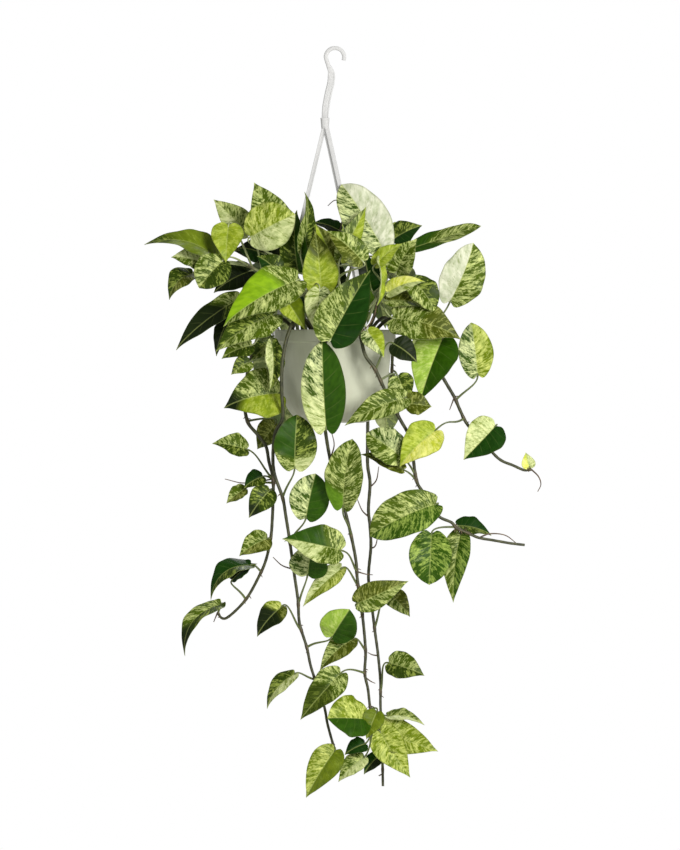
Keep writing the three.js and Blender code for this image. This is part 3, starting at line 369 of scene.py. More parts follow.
        leaf("sl", 2, (40, -94, -352), (61, -100, -385), 28, (0, -0.95, 0.3)),
        leaf("cl", 3, (54, -68, -263), (52, -76, -323), 30, (0.95, -0.3, 0)),
        leaf("ll", 3, (50, -65, -270), (84, -56, -243), 24, (0, -0.8, 0.6)),
    ], twigs=[
        [(52, -73, -316), (49, -84, -332), (41, -98, -346), (27, -107, -357), (14, -112, -366)],
    ]),
    stem("sprig_right", (42, 10), [
        (50, 8, -330), (60, 4, -300), (68, 2, -275),
    ], [
        leaf("vv", 3, (76, -16, -279), (102, -26, -236), 42, (-0.1, -0.85, 0.5)),
        leaf("md", 3, (73, 12, -236), (109, 16, -219), 36, (0, -0.8, 0.6)),
        oval("eev5", 3, (92, -2, -249), (182, -8, -219), 28, (0, -0.7, 0.7), -0.03),
        leaf("vm", 2, (84, -20, -302), (119, -32, -332), 46, (0.2, -0.7, 0.7)),
        leaf("kd", 2.2, (46, 18, -300), (36, 22, -252), 40, (0, -0.95, 0.2)),
    ]),
    stem("sprig_middle_left", (-24, 4), [
        (-30, 4, -325), (-42, -4, -298), (-50, -14, -275),
    ], [
        oval("xc", 3, (-105, -24, -234), (-50, -34, -206), 62, (0, -0.97, 0.2)),
        leaf("vv", 3, (-69, -4, -236), (-101, 6, -165), 56, (0.1, -0.95, 0.25)),
        leaf("dh", 1.5, (-26, 6, -316), (-60, -4, -336), 36, (0, -0.6, 0.8)),
    ]),
    stem("sprig_middle", (6, 4), [
        (8, 6, -320), (16, 2, -285), (24, -6, -262),
    ], [
        oval("sp", 3, (60, -50, -250), (8, -32, -168), 58, (0.05, -0.97, 0.2)),
        leaf("dk", 3, (6, -10, -226), (-28, -8, -216), 24, (0, -0.7, 0.7)),
        leaf("dh", 1.5, (24, -8, -308), (54, -18, -330), 40, (0, -0.5, 0.85)),
        leaf("lo", 2.6, (0, -30, -266), (-24, -34, -218), 34, (0.1, -0.95, 0.2)),
    ], twigs=[
        [(6, -10, -227), (10, -12, -207), (8, -12, -192), (0, -12, -188), (-9, -12, -195)],
    ]),
    stem("sprig_back_left", (-36, 30), [
        (-40, 38, -325), (-52, 48, -290), (-60, 54, -265),
    ], [
        leaf("ev", 3, (-72, 62, -268), (-118, 92, -300), 48, (-0.4, 0.6, 0.7)),
        leaf("vm", 3, (-58, 66, -262), (-66, 100, -222), 46, (0, 0.5, 0.85)),
        leaf("mv", 2, (-84, 50, -302), (-138, 58, -338), 46, (-0.6, 0.4, 0.6)),
        leaf("vc", 2, (-50, 82, -300), (-66, 112, -356), 54, (-0.2, 0.95, 0.3)),
        leaf("kk", 2.6, (-66, 44, -257), (-130, 40, -249), 38, (0, -0.9, 0.4)),
    ]),
    stem("sprig_back", (-8, 34), [
        (-8, 42, -325), (-8, 54, -290), (-6, 62, -268),
    ], [
        leaf("ve", 3, (-6, 74, -262), (8, 116, -282), 54, (0, 0.7, 0.7)),
        leaf("mv", 2, (-12, 84, -302), (-20, 112, -366), 50, (-0.1, 1, 0.2)),
        leaf("lv", 3, (14, 66, -240), (30, 86, -205), 42, (0.2, 0.7, 0.6)),
        leaf("ev", 3, (-22, 60, -244), (-52, 74, -222), 38, (-0.2, 0.6, 0.8)),
        leaf("kk", 1.6, (-8, 28, -300), (-2, 30, -250), 44, (0, -0.95, 0.2)),
    ]),
    stem("sprig_back_right", (30, 26), [
        (36, 34, -325), (50, 44, -295), (58, 50, -270),
    ], [
        leaf("vm", 3, (64, 58, -274), (106, 88, -298), 50, (0.4, 0.6, 0.7)),
        leaf("ev", 2.5, (52, 78, -294), (64, 112, -346), 52, (0.2, 1, 0.3)),
        leaf("mc", 2, (80, 44, -300), (134, 50, -342), 46, (0.6, 0.5, 0.6)),
        leaf("lv", 3, (62, 46, -238), (86, 64, -216), 36, (0.2, 0.6, 0.8)),
    ]),
]

# ---------------------------------------------------------------- mesh of a piece
# What each corner of a face carries: its place on the surface, in metres and in shares, its
# place in the texture map, and two colours. On a leaf the alpha of the deep colour is the
# share of the surface that is deep, and that of the pale colour is the leaf's own seed.
LAYERS = {"grain": 2, "vein": 2, "OFBake": 2, "deep": 4, "pale": 4}
UPPER, UNDER, SKIN = range(3)      # the materials of foliage


def link(name, data):
    """A new object in the scene."""
    item = bpy.data.objects.new(name, data)
    bpy.context.scene.collection.objects.link(item)
    return item


class Piece:
    """Collects surfaces, with a value of each of LAYERS at every corner of their faces."""

    def __init__(self):
        self.points = []
        self.count = 0
        self.faces = []
        self.slots = []
        self.layers = {name: [] for name in LAYERS}

    def put(self, points):
        """Adds points and returns the number of the first."""
        points = np.asarray(points, float).reshape(-1, 3)
        first = self.count
        self.points.append(points)
        self.count += len(points)
        return first

    def cover(self, corners, slot, **values):
        """Adds faces: `corners` numbers the points of each, and each value is given per
        corner, as an array of faces by corners by numbers."""
        corners = np.asarray(corners)
        self.faces += corners.tolist()
        self.slots += [slot] * len(corners)
        for name, size in LAYERS.items():
            given = values.get(name)
            if given is None:
                given = np.zeros((*corners.shape, size))
            self.layers[name].append(np.asarray(given, float).reshape(-1, size))

    def make(self, name, materials):
        """The finished object. Waves that reach past the CAD model's box are cut back."""
        mesh = bpy.data.meshes.new(name)
        points = np.clip(np.concatenate(self.points), *np.array(cad_box))
        mesh.from_pydata(points.tolist(), [], self.faces)
        for material in materials:
            mesh.materials.append(material)
        mesh.polygons.foreach_set("material_index", np.array(self.slots, np.int32))
        mesh.polygons.foreach_set("use_smooth", np.ones(len(self.faces), bool))
        for layer, size in LAYERS.items():
            flat = np.concatenate(self.layers[layer]).astype(np.float32).ravel()
            if size == 2:
                mesh.uv_layers.new(name=layer).data.foreach_set("uv", flat)
            else:
                made = mesh.color_attributes.new(layer, "FLOAT_COLOR", "CORNER")
                made.data.foreach_set("color", flat)
        mesh.set_sharp_from_angle(angle=math.radians(55))
        mesh.update()
        return link(name, mesh)


def quads(rows, columns):
    """Faces of a grid of points, as the (row, column) of each corner."""
    r, c = np.meshgrid(np.arange(rows - 1), np.arange(columns - 1), indexing="ij")
    r, c = r.ravel(), c.ravel()
    return np.stack([[r, c], [r, c + 1], [r + 1, c + 1], [r + 1, c]]).transpose(2, 0, 1)


def tube_faces(rows, sides, first=0):
    """Faces round a tube: each corner's (row, column), where the seam's second side is a
    column of its own, and the number of its point, counted from `first`."""
    at = quads(rows, sides + 1)
    return at, first + at[..., 0] * sides + at[..., 1] % sides


def unit(v):
    v = np.asarray(v, float)
    return v / np.maximum(np.linalg.norm(v, axis=-1, keepdims=True), 1e-12)


def distances(line):
    """How far along a line each of its points lies."""
    return np.concatenate([[0], np.cumsum(np.linalg.norm(np.diff(line, axis=0), axis=1))])


def at_place(where, place, points):
    """What lies at `where`, between points whose places are given."""
    return np.stack([np.interp(where, place, column) for column in points.T], -1)


def smooth_line(points, step):
    """Points about `step` apart on a smooth curve through `points`, and the place of each,
    counted in those: 1.5 is halfway from the second to the third."""
    points = np.asarray(points, float)
    padded = np.vstack([2 * points[0] - points[1], points, 2 * points[-1] - points[-2]])
    line, place = [], []
    for i in range(len(points) - 1):
        a, b, c, d = padded[i:i + 4]
        count = max(2, int(np.ceil(np.linalg.norm(c - b) / step)))
        t = np.linspace(0, 1, count, endpoint=False)[:, None]
        place += list(i + t[:, 0])
        line.append(0.5 * (2 * b + (c - a) * t + (2 * a - 5 * b + 4 * c - d) * t ** 2
                           + (3 * b - a - 3 * c + d) * t ** 3))
    line.append(points[-1:])
    return np.vstack(line), np.array(place + [len(points) - 1])


def sweep_frames(line, up):
    """Two directions square to a line at each of its points, turned as little as the line."""
    along = unit(np.gradient(line, axis=0))
    ups = []
    up = np.asarray(up, float)
    for direction in along:
        up = up - direction * (up @ direction)
        up = up / max(np.linalg.norm(up), 1e-9)
        ups.append(up)
    return np.array(ups), np.cross(along, ups)


# ---------------------------------------------------------------- a leaf's blade
# Half of the outline: distance along the midrib, and half width as a share of the widest,
# on a pointed leaf and on an oval one.
OUTLINE = [
    (0, 0, 0), (-.07, .34, .30), (.05, .82, .68), (.27, 1.0, .97), (.52, .82, 1.0),
    (.77, .42, .76), (.92, .12, .40), (1, 0, 0),
]
FEWEST_ROWS = 14
ROW_GAP = 5                 # millimetres of length for each row more
ACROSS = np.array([0, .03, .07, .13, .21, .31, .43, .56, .69, .81, .92, 1])
MIDDLE = len(ACROSS) - 1    # the midrib's column
SINUS = .045                # of the outline, from the petiole to where the side rows start
VEIN_LEAN = 1.9             # how much closer the side rows leave the midrib near its foot
VEIN_BEND = .35             # where a side row's handle lies, as a share of its way forward
SIDE_VEINS = 7              # lateral veins on each half
FOLD = .22                  # how steeply a leaf's halves rise from its midrib, radians
# Heights of the relief and radii of its fall beside the midrib, in millimetres.
PUCKER = .85                # swelling between the lateral veins of a leaf of full size
FULL_HALF = 22              # half the width of such a leaf
GUTTER, GUTTER_R = .7, 1.4  # sinking over the midrib
RIDGE, RIDGE_R = .75, 1.1   # the midrib below
# Shares of a leaf's width or length. Those with two numbers are drawn between them.
WAVE = .05                  # height of the edge's waves, of the width
RIPPLE = (.014, .036)       # height of its finer waves, of the width
DROOP = (.01, .04)          # fall of the tip, of the length
SWAY = .03                  # the most that the midrib bends aside, of the length
TIP_FROM = .72              # where the tip's look starts unless a leaf says so


def leaf_axes(one):
    """Where a leaf's blade starts, its directions along, up and aside, and its length."""
    base, tip = mm(one["base"]), mm(one["tip"])
    length = np.linalg.norm(tip - base)
    along = (tip - base) / length
    up = np.asarray(one["face"], float)
    up = unit(up - along * (up @ along))
    return base, along, up, np.cross(up, along), length


def outline_curve(one, length):
    """Points close together along half of the outline, in metres."""
    half = mm(one["width"]) / 2
    share = 2 if one["oval"] else 1
    corners = [(row[0] * length, row[share] * half) for row in OUTLINE]
    return smooth_line(corners, length / 60)[0]


def blade_grid(one, order, rng):
    """The blade's middle sheet: points in rows from the sinus to just before the tip and
    columns from the left margin to the right one, the tip, and where each point lies."""
    base, along, up, side, length = leaf_axes(one)
    half = mm(one["width"]) / 2
    curve = outline_curve(one, length)
    reach = distances(curve)
    reach /= reach[-1]
    u = np.linspace(0, 1, FEWEST_ROWS + int(length / mm(ROW_GAP)) + 1)
    ends = at_place(SINUS + (1 - SINUS) * u, reach, curve)
    u, w = np.broadcast_arrays(u[:, None], np.concatenate([-ACROSS[:0:-1], ACROSS]))
    a, sign = np.abs(w), np.sign(w)
    # Each row is a curve from the midrib to the margin, as a lateral vein is. `t` is how far
    # along the midrib a point lies, as a share, and `s` how far from it, in metres.
    rib, margin = length * u ** VEIN_LEAN, ends[:, :1]
    middle = rib + VEIN_BEND * (margin - rib)
    t = ((1 - a) ** 2 * rib + 2 * a * (1 - a) * middle + a ** 2 * margin) / length
    s = ends[:, 1:] * a
    v = s / half
    inside = np.clip(t, 0, 1)
    # The midrib's bow, the fold of the two halves, and the waves of the edge.
    lift = 4 * one["arch"] * length * inside * (1 - inside)
    lift += s * math.sin(FOLD) * (1.12 - .35 * v ** 2)
    lift += WAVE * 2 * half * v ** 1.4 * np.sin(9 * t + (2.4 * order + sign))
    ripple = rng.uniform(*RIPPLE)
    lift += ripple * 2 * half * v ** 2 * np.sin(21 * t + rng.uniform(0, 6) + 2 * sign)
    # The blade swells between its lateral veins, sinks over its midrib and droops at its tip.
    swell = mm(PUCKER) * min(1, half / mm(FULL_HALF)) * (4 * a * (1 - a)) ** .7
    lift += swell * (np.abs(np.sin(math.pi * SIDE_VEINS * u)) ** .8 - .6)
    lift -= mm(GUTTER) * np.exp(-(s / mm(GUTTER_R)) ** 2) * (1 - inside)
    lift -= rng.uniform(*DROOP) * length * np.clip((inside - .75) / .25, 0, 1) ** 2
    sway = rng.uniform(-SWAY, SWAY) * length * np.sin(math.pi * inside)
    across = sign * s * math.cos(FOLD) + sway
    points = (base + along * (t * length)[..., None] + side * across[..., None]
              + up * lift[..., None])
    flat = np.stack([u * length * 1.15, sign * s], -1)
    vein = np.stack([u, w], -1)
    return points[:-1], points[-1, MIDDLE], flat, vein, s[:-1], inside[:-1]


def sheet_normals(points, tip):
    """The normal at each point of a blade and at its tip, from its faces."""
    rows, columns = points.shape[:2]
    normals = np.zeros_like(points)
    a, b = points[:-1, :-1], points[:-1, 1:]
    c, d = points[1:, 1:], points[1:, :-1]
    faces = np.cross(c - a, d - b)
    for row, column in ((0, 0), (0, 1), (1, 1), (1, 0)):
        normals[row:rows - 1 + row, column:columns - 1 + column] += faces
    last = np.cross(points[-1, 1:] - points[-1, :-1], tip - points[-1, :-1])
    normals[-1, :-1] += last
    normals[-1, 1:] += last
    return unit(normals), unit(last.sum(0))


def half_looks(one, side):
    """For the left and the right columns the look near the base and the look of the tip,
    and where the tip starts."""
    letters = one["look"]
    starts = TIP_FROM
    if letters[-1].isdigit():
        starts, letters = int(letters[-1]) / 10, letters[:-1]
    near, far = letters[:2], (letters[2:] * 2)[:2] or letters[:2]
    # The first letter goes to the half that lies to the left of the image, or above.
    if side @ np.array([-1, 0, .8]) > 0:
        near, far = near[::-1], far[::-1]
    return [(LOOKS[near[k]], LOOKS[far[k]]) for k in (0, 1)], starts


def look_colours(look, tone):
    """A look's two colours, made lighter or darker by `tone`."""
    deep, pale, share = look
    return np.array([*(np.array(deep) * tone), share]), np.array([*(np.array(pale) * tone), 0])


def paint_blade(one, side, u, tone, seed):
    """Deep and pale colours, each for the left and the right half at each row."""
    halves, starts = half_looks(one, side)
    share = np.clip((u - starts + .05) / .1, 0, 1)[:, None]
    painted = []
    for near, far in halves:
        painted.append([colour + (tip - colour) * share for colour, tip in zip(
            look_colours(near, tone), look_colours(far, tone))])
    deep, pale = np.array(painted).swapaxes(0, 1)
    pale[..., 3] = seed
    return deep, pale


def blade_faces(rows, columns):
    """Corners, as (row, column), of a blade's squares and of the fan at its tip. The tip is
    a row of its own, whose columns are all one point."""
    gap = np.arange(columns - 1)
    last = np.full_like(gap, rows - 1)
    fan = np.stack([[last, gap], [last, gap + 1], [last + 1, gap]]).transpose(2, 0, 1)
    return quads(rows, columns), fan


def blade_edge(rows, columns):
    """The (row, column) of each point round a blade, from the sinus and past the tip."""
    return np.array([(0, c) for c in range(columns)]
                    + [(r, columns - 1) for r in range(1, rows)] + [(rows, MIDDLE)]
                    + [(r, 0) for r in range(rows - 1, 0, -1)])


def add_blade(piece, one, order, cell, rng):
    """A leaf's upper side, its underside with the midrib's ridge, and the edge between."""
    _, _, up, side, _ = leaf_axes(one)
    points, tip, flat, vein, off, inside = blade_grid(one, order, rng)
    rows, columns = points.shape[:2]
    normals, tip_normal = sheet_normals(points, tip)
    if normals[rows // 2, MIDDLE] @ up < 0:
        normals, tip_normal = -normals, -tip_normal
    ridge = mm(RIDGE) * np.exp(-(off / mm(RIDGE_R)) ** 2) * (1 - inside) ** .6
    seed, tone = rng.random(), rng.uniform(.9, 1.1)
    deep, pale = paint_blade(one, side, vein[:, 0, 0], tone, seed)

    def cover(first, row, column, half, slot, place):
        piece.cover(first + np.minimum(row * columns + column, rows * columns), slot,
                    grain=flat[row, column], vein=vein[row, column], OFBake=place,
                    deep=deep[half, row], pale=pale[half, row])

    firsts = []
    for face, slot in ((1, UPPER), (-1, UNDER)):
        thick = mm(BLADE) / 2 + (ridge[..., None] if slot == UNDER else 0)
        firsts.append(piece.put(points + normals * face * thick))
        piece.put(tip + tip_normal * face * mm(BLADE) / 2)
        room = cell.part(slot)
        for corners in blade_faces(rows, columns):
            half = (corners[:, :1, 1] >= MIDDLE).astype(int)
            row, column = corners[:, ::face].transpose(2, 0, 1)
            across = (column + .5 * (row == rows)) / (columns - 1)
            cover(firsts[-1], row, column, half, slot, room(across, row / rows))
    edge = blade_edge(rows, columns)
    step = np.arange(len(edge))
    around = np.stack([step + 1, step, step, step + 1], 1)
    below = np.tile([0, 0, 1, 1], (len(edge), 1))
    row, column = edge[around % len(edge)].transpose(2, 0, 1)
    cover(np.array(firsts)[below], row, column, (column > MIDDLE).astype(int), UNDER,
          cell.part(2)(below, around / len(edge)))


# ---------------------------------------------------------------- stems, petioles and twigs
SKINS = {                   # light and dark tone of a stem's skin, linear
    "vine": ((.066, .070, .020), (.018, .021, .006)),
    "sprig": ((.46, .50, .26), (.22, .27, .09)),
    "petiole": ((.16, .20, .055), (.055, .075, .015)),
    "shade": ((.10, .13, .03), (.03, .045, .010)),
    "dry": ((.16, .105, .055), (.05, .03, .015)),
}
STEM_SIDES = 12
PETIOLE_SIDES = 9
TWIG_SIDES = 7
BUD_SIDES = 6
PETIOLE_POINTS = 14
LINE_STEP = 3               # millimetres between the points of a stem or a twig
NODE_REACH = 3.2            # how far a node's swelling reaches, in millimetres
SHARP_TURN = 75             # degrees that make a petiole bend close to its blade
BUD_PROFILE = (1.15, 1, .85, .6, .25)
MOST_BUDS = 3               # root buds at a node


def round_section(angle):
    return np.ones_like(angle)


def grooved_section(angle):
    """Round, with a groove along the upper side."""
    return 1 - .28 * np.exp(-(np.minimum(angle, 2 * math.pi - angle) / .5) ** 2)


def add_tube(piece, line, radii, sides, up, colours, room, section=round_section):
    """A closed tube along a line, with a radius and a light and dark tone for each point."""
    ups, asides = sweep_frames(line, up)
    rows = len(line)
    angle = 2 * math.pi * np.arange(sides) / sides
    wide = section(angle)
    ring = (ups[:, None, :] * (np.cos(angle) * wide)[None, :, None]
            + asides[:, None, :] * (np.sin(angle) * wide)[None, :, None])
    first = piece.put(line[:, None, :] + ring * np.asarray(radii)[:, None, None])
    at, numbers = tube_faces(rows, sides, first)
    r, c = at[..., 0], at[..., 1]
    far = distances(line)
    side = 2 * math.pi * np.mean(radii) / sides
    light, dark = colours
    piece.cover(numbers, SKIN, grain=np.stack([far[r], c * side], -1),
                vein=np.stack([r / rows, c / sides], -1),
                OFBake=room(far[r] / far[-1], c / sides), deep=dark[r], pale=light[r])
    shape = .5 + .5 * np.stack([np.cos(angle), np.sin(angle)], -1)
    for row, turn in ((0, -1), (rows - 1, 1)):
        cap = first + row * sides + np.arange(sides)[::turn]
        piece.cover([cap], SKIN, OFBake=room.cap(row > 0, shape[None, ::turn]),
                    deep=np.tile(dark[row], (1, sides, 1)),
                    pale=np.tile(light[row], (1, sides, 1)))


def tones(skin, rows, rng, drift=.12):
    """A skin's light and dark tone at each of `rows` points, with a slow drift."""
    wave = 1 + drift * np.sin(np.linspace(0, rng.uniform(6, 14), rows) + rng.uniform(0, 6))
    made = []
    for tone in SKINS[skin]:
        colour = np.ones((rows, 4))
        colour[:, :3] = np.array(tone)[None, :] * wave[:, None]
        made.append(colour)
    return made


def fade(colours, skin, share):
    """Brings a light and a dark tone nearer to those of another skin."""
    for colour, tone in zip(colours, SKINS[skin]):
        colour[:, :3] = colour[:, :3] * (1 - share) + np.array(tone)[None] * share


def petiole_line(one, root):
    """The petiole's middle line: a cubic curve from the stem to the blade, and a last
    stretch under the midrib."""
    base, along, up, _, _ = leaf_axes(one)
    reach = base - root
    span = np.linalg.norm(reach)
    turn = math.degrees(math.acos(np.clip(unit(reach) @ along, -1, 1)))
    middle = root + .4 * reach
    middle[2] += one["rise"] * span
    run = min(max(mm(8), .35 * span), mm(20)) if turn > SHARP_TURN else .3 * span
    behind = base - along * run
    t = np.linspace(0, 1, PETIOLE_POINTS)[:, None]
    curve = ((1 - t) ** 3 * root + 3 * (1 - t) ** 2 * t * middle
             + 3 * (1 - t) * t ** 2 * behind + t ** 3 * base)
    return np.vstack([curve, base + along * mm(3) - up * mm(.5)])


def add_petiole(piece, one, root, skin, room, rng):
    """Thicker at the stem and at the knee before the blade, with a groove above."""
    _, _, up, side, _ = leaf_axes(one)
    line = petiole_line(one, root)
    t = np.linspace(0, 1, len(line))
    radii = mm(PETIOLE_R) * (1.35 - .45 * np.minimum(1, t * 1.6)
                             + .22 * np.exp(-((t - .9) / .06) ** 2))
    first_up = up if abs(up @ unit(line[1] - line[0])) < .95 else side
    add_tube(piece, line, radii, PETIOLE_SIDES, first_up, tones(skin, len(line), rng, .06),
             room, grooved_section)


def is_vine(row):
    return row["name"].startswith("vine")


def leaf_node(one, place):
    """Where a leaf leaves its stem, a little short of the stem's end at the furthest."""
    return min(one["node"], place[-1] - .1)


def stem_line(row):
    """A stem's points from its foot in the soil, and their places. A leaf's node counts
    from where the stem leaves the soil, one after the foot."""
    foot = (*row["hole"], RIM_Z - SOIL_DROP - HOLE_DEPTH + GAP)
    line = [foot, (*row["hole"], START_Z), *row["route"]]
    points, place = smooth_line(mm(line), mm(LINE_STEP))
    return points, place - 1


def add_stem(piece, row, room, rng):
    """The stem itself, thicker and browner at its nodes. Gives its line and radii."""
    points, place = stem_line(row)
    rows, last = len(points), place[-1]
    radii = mm(STEM_R) * np.interp(place, [0, .35 * last, last], [1, .96, .72])
    colours = tones("vine" if is_vine(row) else "sprig", rows, rng)
    for node in sorted({leaf_node(one, place) for one in row["leaves"]}):
        centre = at_place(node, place, points)
        near = np.exp(-(np.linalg.norm(points - centre, axis=1) / mm(NODE_REACH)) ** 2)
        radii = radii * (1 + .22 * near)
        fade(colours, "dry", .55 * near[:, None])
    radii = radii * (1 + .035 * np.sin(np.arange(rows) * 1.7 + rng.uniform(0, 6)))
    if not is_vine(row):           # shoots are darker near the soil, in the crown's shade
        fade(colours, "shade", np.clip(1 - (place - .5) / 2, 0, .8)[:, None])
    add_tube(piece, points, radii, STEM_SIDES, (0, -1, .1), colours, room)
    return points, place, radii


def add_root_buds(piece, row, points, place, radii, atlas, rng):
    """Short brown knobs of aerial roots close to each node."""
    for one in row["leaves"]:
        node = leaf_node(one, place)
        for _ in range(rng.choice((1, 2, 2, MOST_BUDS))):
            i = int(np.argmin(np.abs(place - node))) + rng.choice((-2, -1, 1, 2))
            i = min(max(i, 2), len(points) - 3)
            along = unit(points[i + 1] - points[i - 1])
            out = unit(np.cross(along, [rng.uniform(-1, 1) for _ in range(3)]))
            length = mm(rng.uniform(2.2, 5.5))
            t = np.linspace(0, 1, len(BUD_PROFILE))[:, None]
            line = (points[i] + out * (radii[i] * .6 + length * t)
                    + along * length * .35 * t ** 2)
            add_tube(piece, line, mm(BUD_R) * np.array(BUD_PROFILE), BUD_SIDES, along,
                     tones("dry", len(line), rng), atlas.strip())


def add_twig(piece, route, room, rng):
    """A dried sheath or a young root, tapered to its end."""
    points, _ = smooth_line(mm(route), mm(LINE_STEP))
    radii = mm(TWIG_R) * (1.0 - .55 * np.linspace(0, 1, len(points)))
    up = unit(np.cross(points[1] - points[0], (.3, .2, 1)))
    add_tube(piece, points, radii, TWIG_SIDES, up, tones("dry", len(points), rng), room)


# ---------------------------------------------------------------- a piece's texture map
# All of these are shares of the map's sides.
CAP_ROOM = .02              # width that each strip leaves for its tube's ends
STRIPS = .16                # height that strips take
STEM_STRIP = .2             # share of those for the stem's strip, below the others
LANES = 3                   # strips side by side


class Room:
    """A rectangle of the map. Called with shares of its width and height, it gives places
    in the map. The ends of a tube lie in two squares at its right."""

    def __init__(self, x0, y0, x1, y1):
        self.box = (x0, y0, x1, y1)

    def __call__(self, x, y):
        x0, y0, x1, y1 = self.box
        return np.stack([x0 + (x1 - x0) * np.asarray(x, float),
                         y0 + (y1 - y0) * np.asarray(y, float)], -1)

    def cap(self, second, shape):
        """Places of the first or the second end."""
        _, y0, x1, y1 = self.box
        size = min(y1 - y0, CAP_ROOM) * .4
        left = x1 + CAP_ROOM * (.1 + .45 * second)
        return np.stack([left + size * shape[..., 0], y0 + size * shape[..., 1]], -1)

    def part(self, k):
        """Of a leaf's room: its upper side, its underside, or its edge."""
        x0, y0, x1, y1 = self.box
        a, b = ((.01, .46), (.49, .94), (.96, .99))[k]
        return Room(x0 + (x1 - x0) * a, y0 + (y1 - y0) * .02,
                    x0 + (x1 - x0) * b, y0 + (y1 - y0) * .97)


class Atlas:
    """Shares a piece's map out: cells for leaves, and strips below for the tubes."""

    def __init__(self, leaves, tubes):
        self.columns = max(1, math.ceil(math.sqrt(leaves / 1.6)))
        self.rows = math.ceil(leaves / self.columns)
        self.tubes = tubes
        self.cells = self.strips = 0

    def cell(self):
        x, y = self.cells % self.columns, self.cells // self.columns
        self.cells += 1
        high = (1 - STRIPS) / self.rows
        return Room(x / self.columns, STRIPS + y * high, (x + 1) / self.columns,
                    STRIPS + (y + 1) * high)

    def strip(self):
        """The stem, which asks first, gets the lowest strip, and the others share the rest."""
        k = self.strips
        self.strips += 1
        low = STRIPS * STEM_STRIP
        if k == 0:
            return Room(.005, .004, 1 - CAP_ROOM * 1.2, low)
        high = (STRIPS - low) / math.ceil(self.tubes / LANES)
        line, lane = divmod(k - 1, LANES)
        left = lane / LANES
        return Room(left + .003, low + high * (line + .1), left + 1 / LANES - CAP_ROOM * 1.2,
                    low + high * (line + .85))


def make_foliage(row, number, materials):
    """One leafy stem, with its random draws seeded by its number."""
    rng = random.Random(1000 + number)
    piece = Piece()
    leaves, twigs = row["leaves"], row["twigs"]
    buds = MOST_BUDS * len(leaves) if is_vine(row) else 0
    atlas = Atlas(len(leaves), len(leaves) + len(twigs) + buds)
    points, place, radii = add_stem(piece, row, atlas.strip(), rng)
    for order, one in enumerate(leaves):
        root = at_place(leaf_node(one, place), place, points)
        add_blade(piece, one, order, atlas.cell(), rng)
        add_petiole(piece, one, root, "petiole" if is_vine(row) else "sprig", atlas.strip(),
                    rng)
    for twig in twigs:
        add_twig(piece, twig, atlas.strip(), rng)
    if is_vine(row):
        add_root_buds(piece, row, points, place, radii, atlas, rng)
    return piece.make(row["name"] + "_foliage", materials)


# ---------------------------------------------------------------- materials
class Shader:
    """A node material with one Principled shader, and short calls for the nodes."""

    def __init__(self, name):
        self.material = bpy.data.materials.new(name)
        self.material.use_nodes = True
        self.tree = self.material.node_tree
        self.tree.nodes.clear()
        self.surface = self.tree.nodes.new("ShaderNodeBsdfPrincipled")
        out = self.tree.nodes.new("ShaderNodeOutputMaterial")
        self.tree.links.new(self.surface.outputs[0], out.inputs["Surface"])

    def put(self, socket, value):
        """Links or sets an input. None leaves it as it is."""
        if isinstance(value, bpy.types.NodeSocket):
            self.tree.links.new(value, socket)
        elif value is not None:
            if np.ndim(value) == 1 and len(value) == 3 and socket.type == "RGBA":
                value = (*value, 1)
            socket.default_value = value

    def node(self, kind, inputs=(), **settings):
        made = self.tree.nodes.new("ShaderNode" + kind)
        for name, value in settings.items():
            setattr(made, name, value)
        for name, value in dict(inputs).items():
            self.put(made.inputs[name], value)
        return made

    def math(self, operation, a, b=None):
        return self.node("Math", {0: a, 1: b}, operation=operation).outputs[0]

    def plus(self, a, b):
        return self.math("ADD", a, b)

    def times(self, a, b):
        return self.math("MULTIPLY", a, b)

    def mix(self, share, a, b, blend="MIX"):
        inputs = {0: share, 6: a, 7: b}
        return self.node("Mix", inputs, data_type="RGBA", blend_type=blend).outputs[2]

    def shaded(self, colour, red, green, blue):
        """A colour with each of its parts multiplied."""
        parts = self.node("CombineColor", {0: red, 1: green, 2: blue}).outputs[0]
        return self.mix(1.0, colour, parts, "MULTIPLY")

    def step(self, value, low, high, to=(0, 1), smooth=True):
        """Carries low..high to the two values of `to`, and no further."""
        made = self.node("MapRange", {"Value": value, "From Min": low, "From Max": high,
                                      "To Min": to[0], "To Max": to[1]}, clamp=True,
                         interpolation_type="SMOOTHSTEP" if smooth else "LINEAR")
        return made.outputs[0]

    def noise(self, vector, scale=1.0, detail=2.0, rough=.5, w=None, distort=0.0):
        made = self.node("TexNoise", {"Vector": vector, "Scale": scale, "Detail": detail,
                                      "Roughness": rough, "Distortion": distort},
                         noise_dimensions="3D" if w is None else "4D")
        if w is not None:
            self.put(made.inputs["W"], w)
        return made.outputs["Fac"]

    def attribute(self, name):
        return self.node("Attribute", attribute_name=name, attribute_type="GEOMETRY").outputs

    def uv(self, name):
        """The two parts of a place."""
        return self.split(self.node("UVMap", uv_map=name).outputs[0])[:2]

    def split(self, vector):
        return self.node("SeparateXYZ", {0: vector}).outputs

    def scaled(self, x, by_x, y, by_y, z=0.0):
        """A vector for a noise, with a scale of its own each way."""
        return self.node("CombineXYZ", {0: self.times(x, by_x), 1: self.times(y, by_y),
                                        2: z}).outputs[0]

    def bump(self, height, strength, distance):
        return self.node("Bump", {"Height": height, "Strength": strength,
                                  "Distance": distance}).outputs[0]

    def finish(self, **inputs):
        for name, value in inputs.items():
            self.put(self.surface.inputs[name.replace("_", " ")], value)
        return self.material


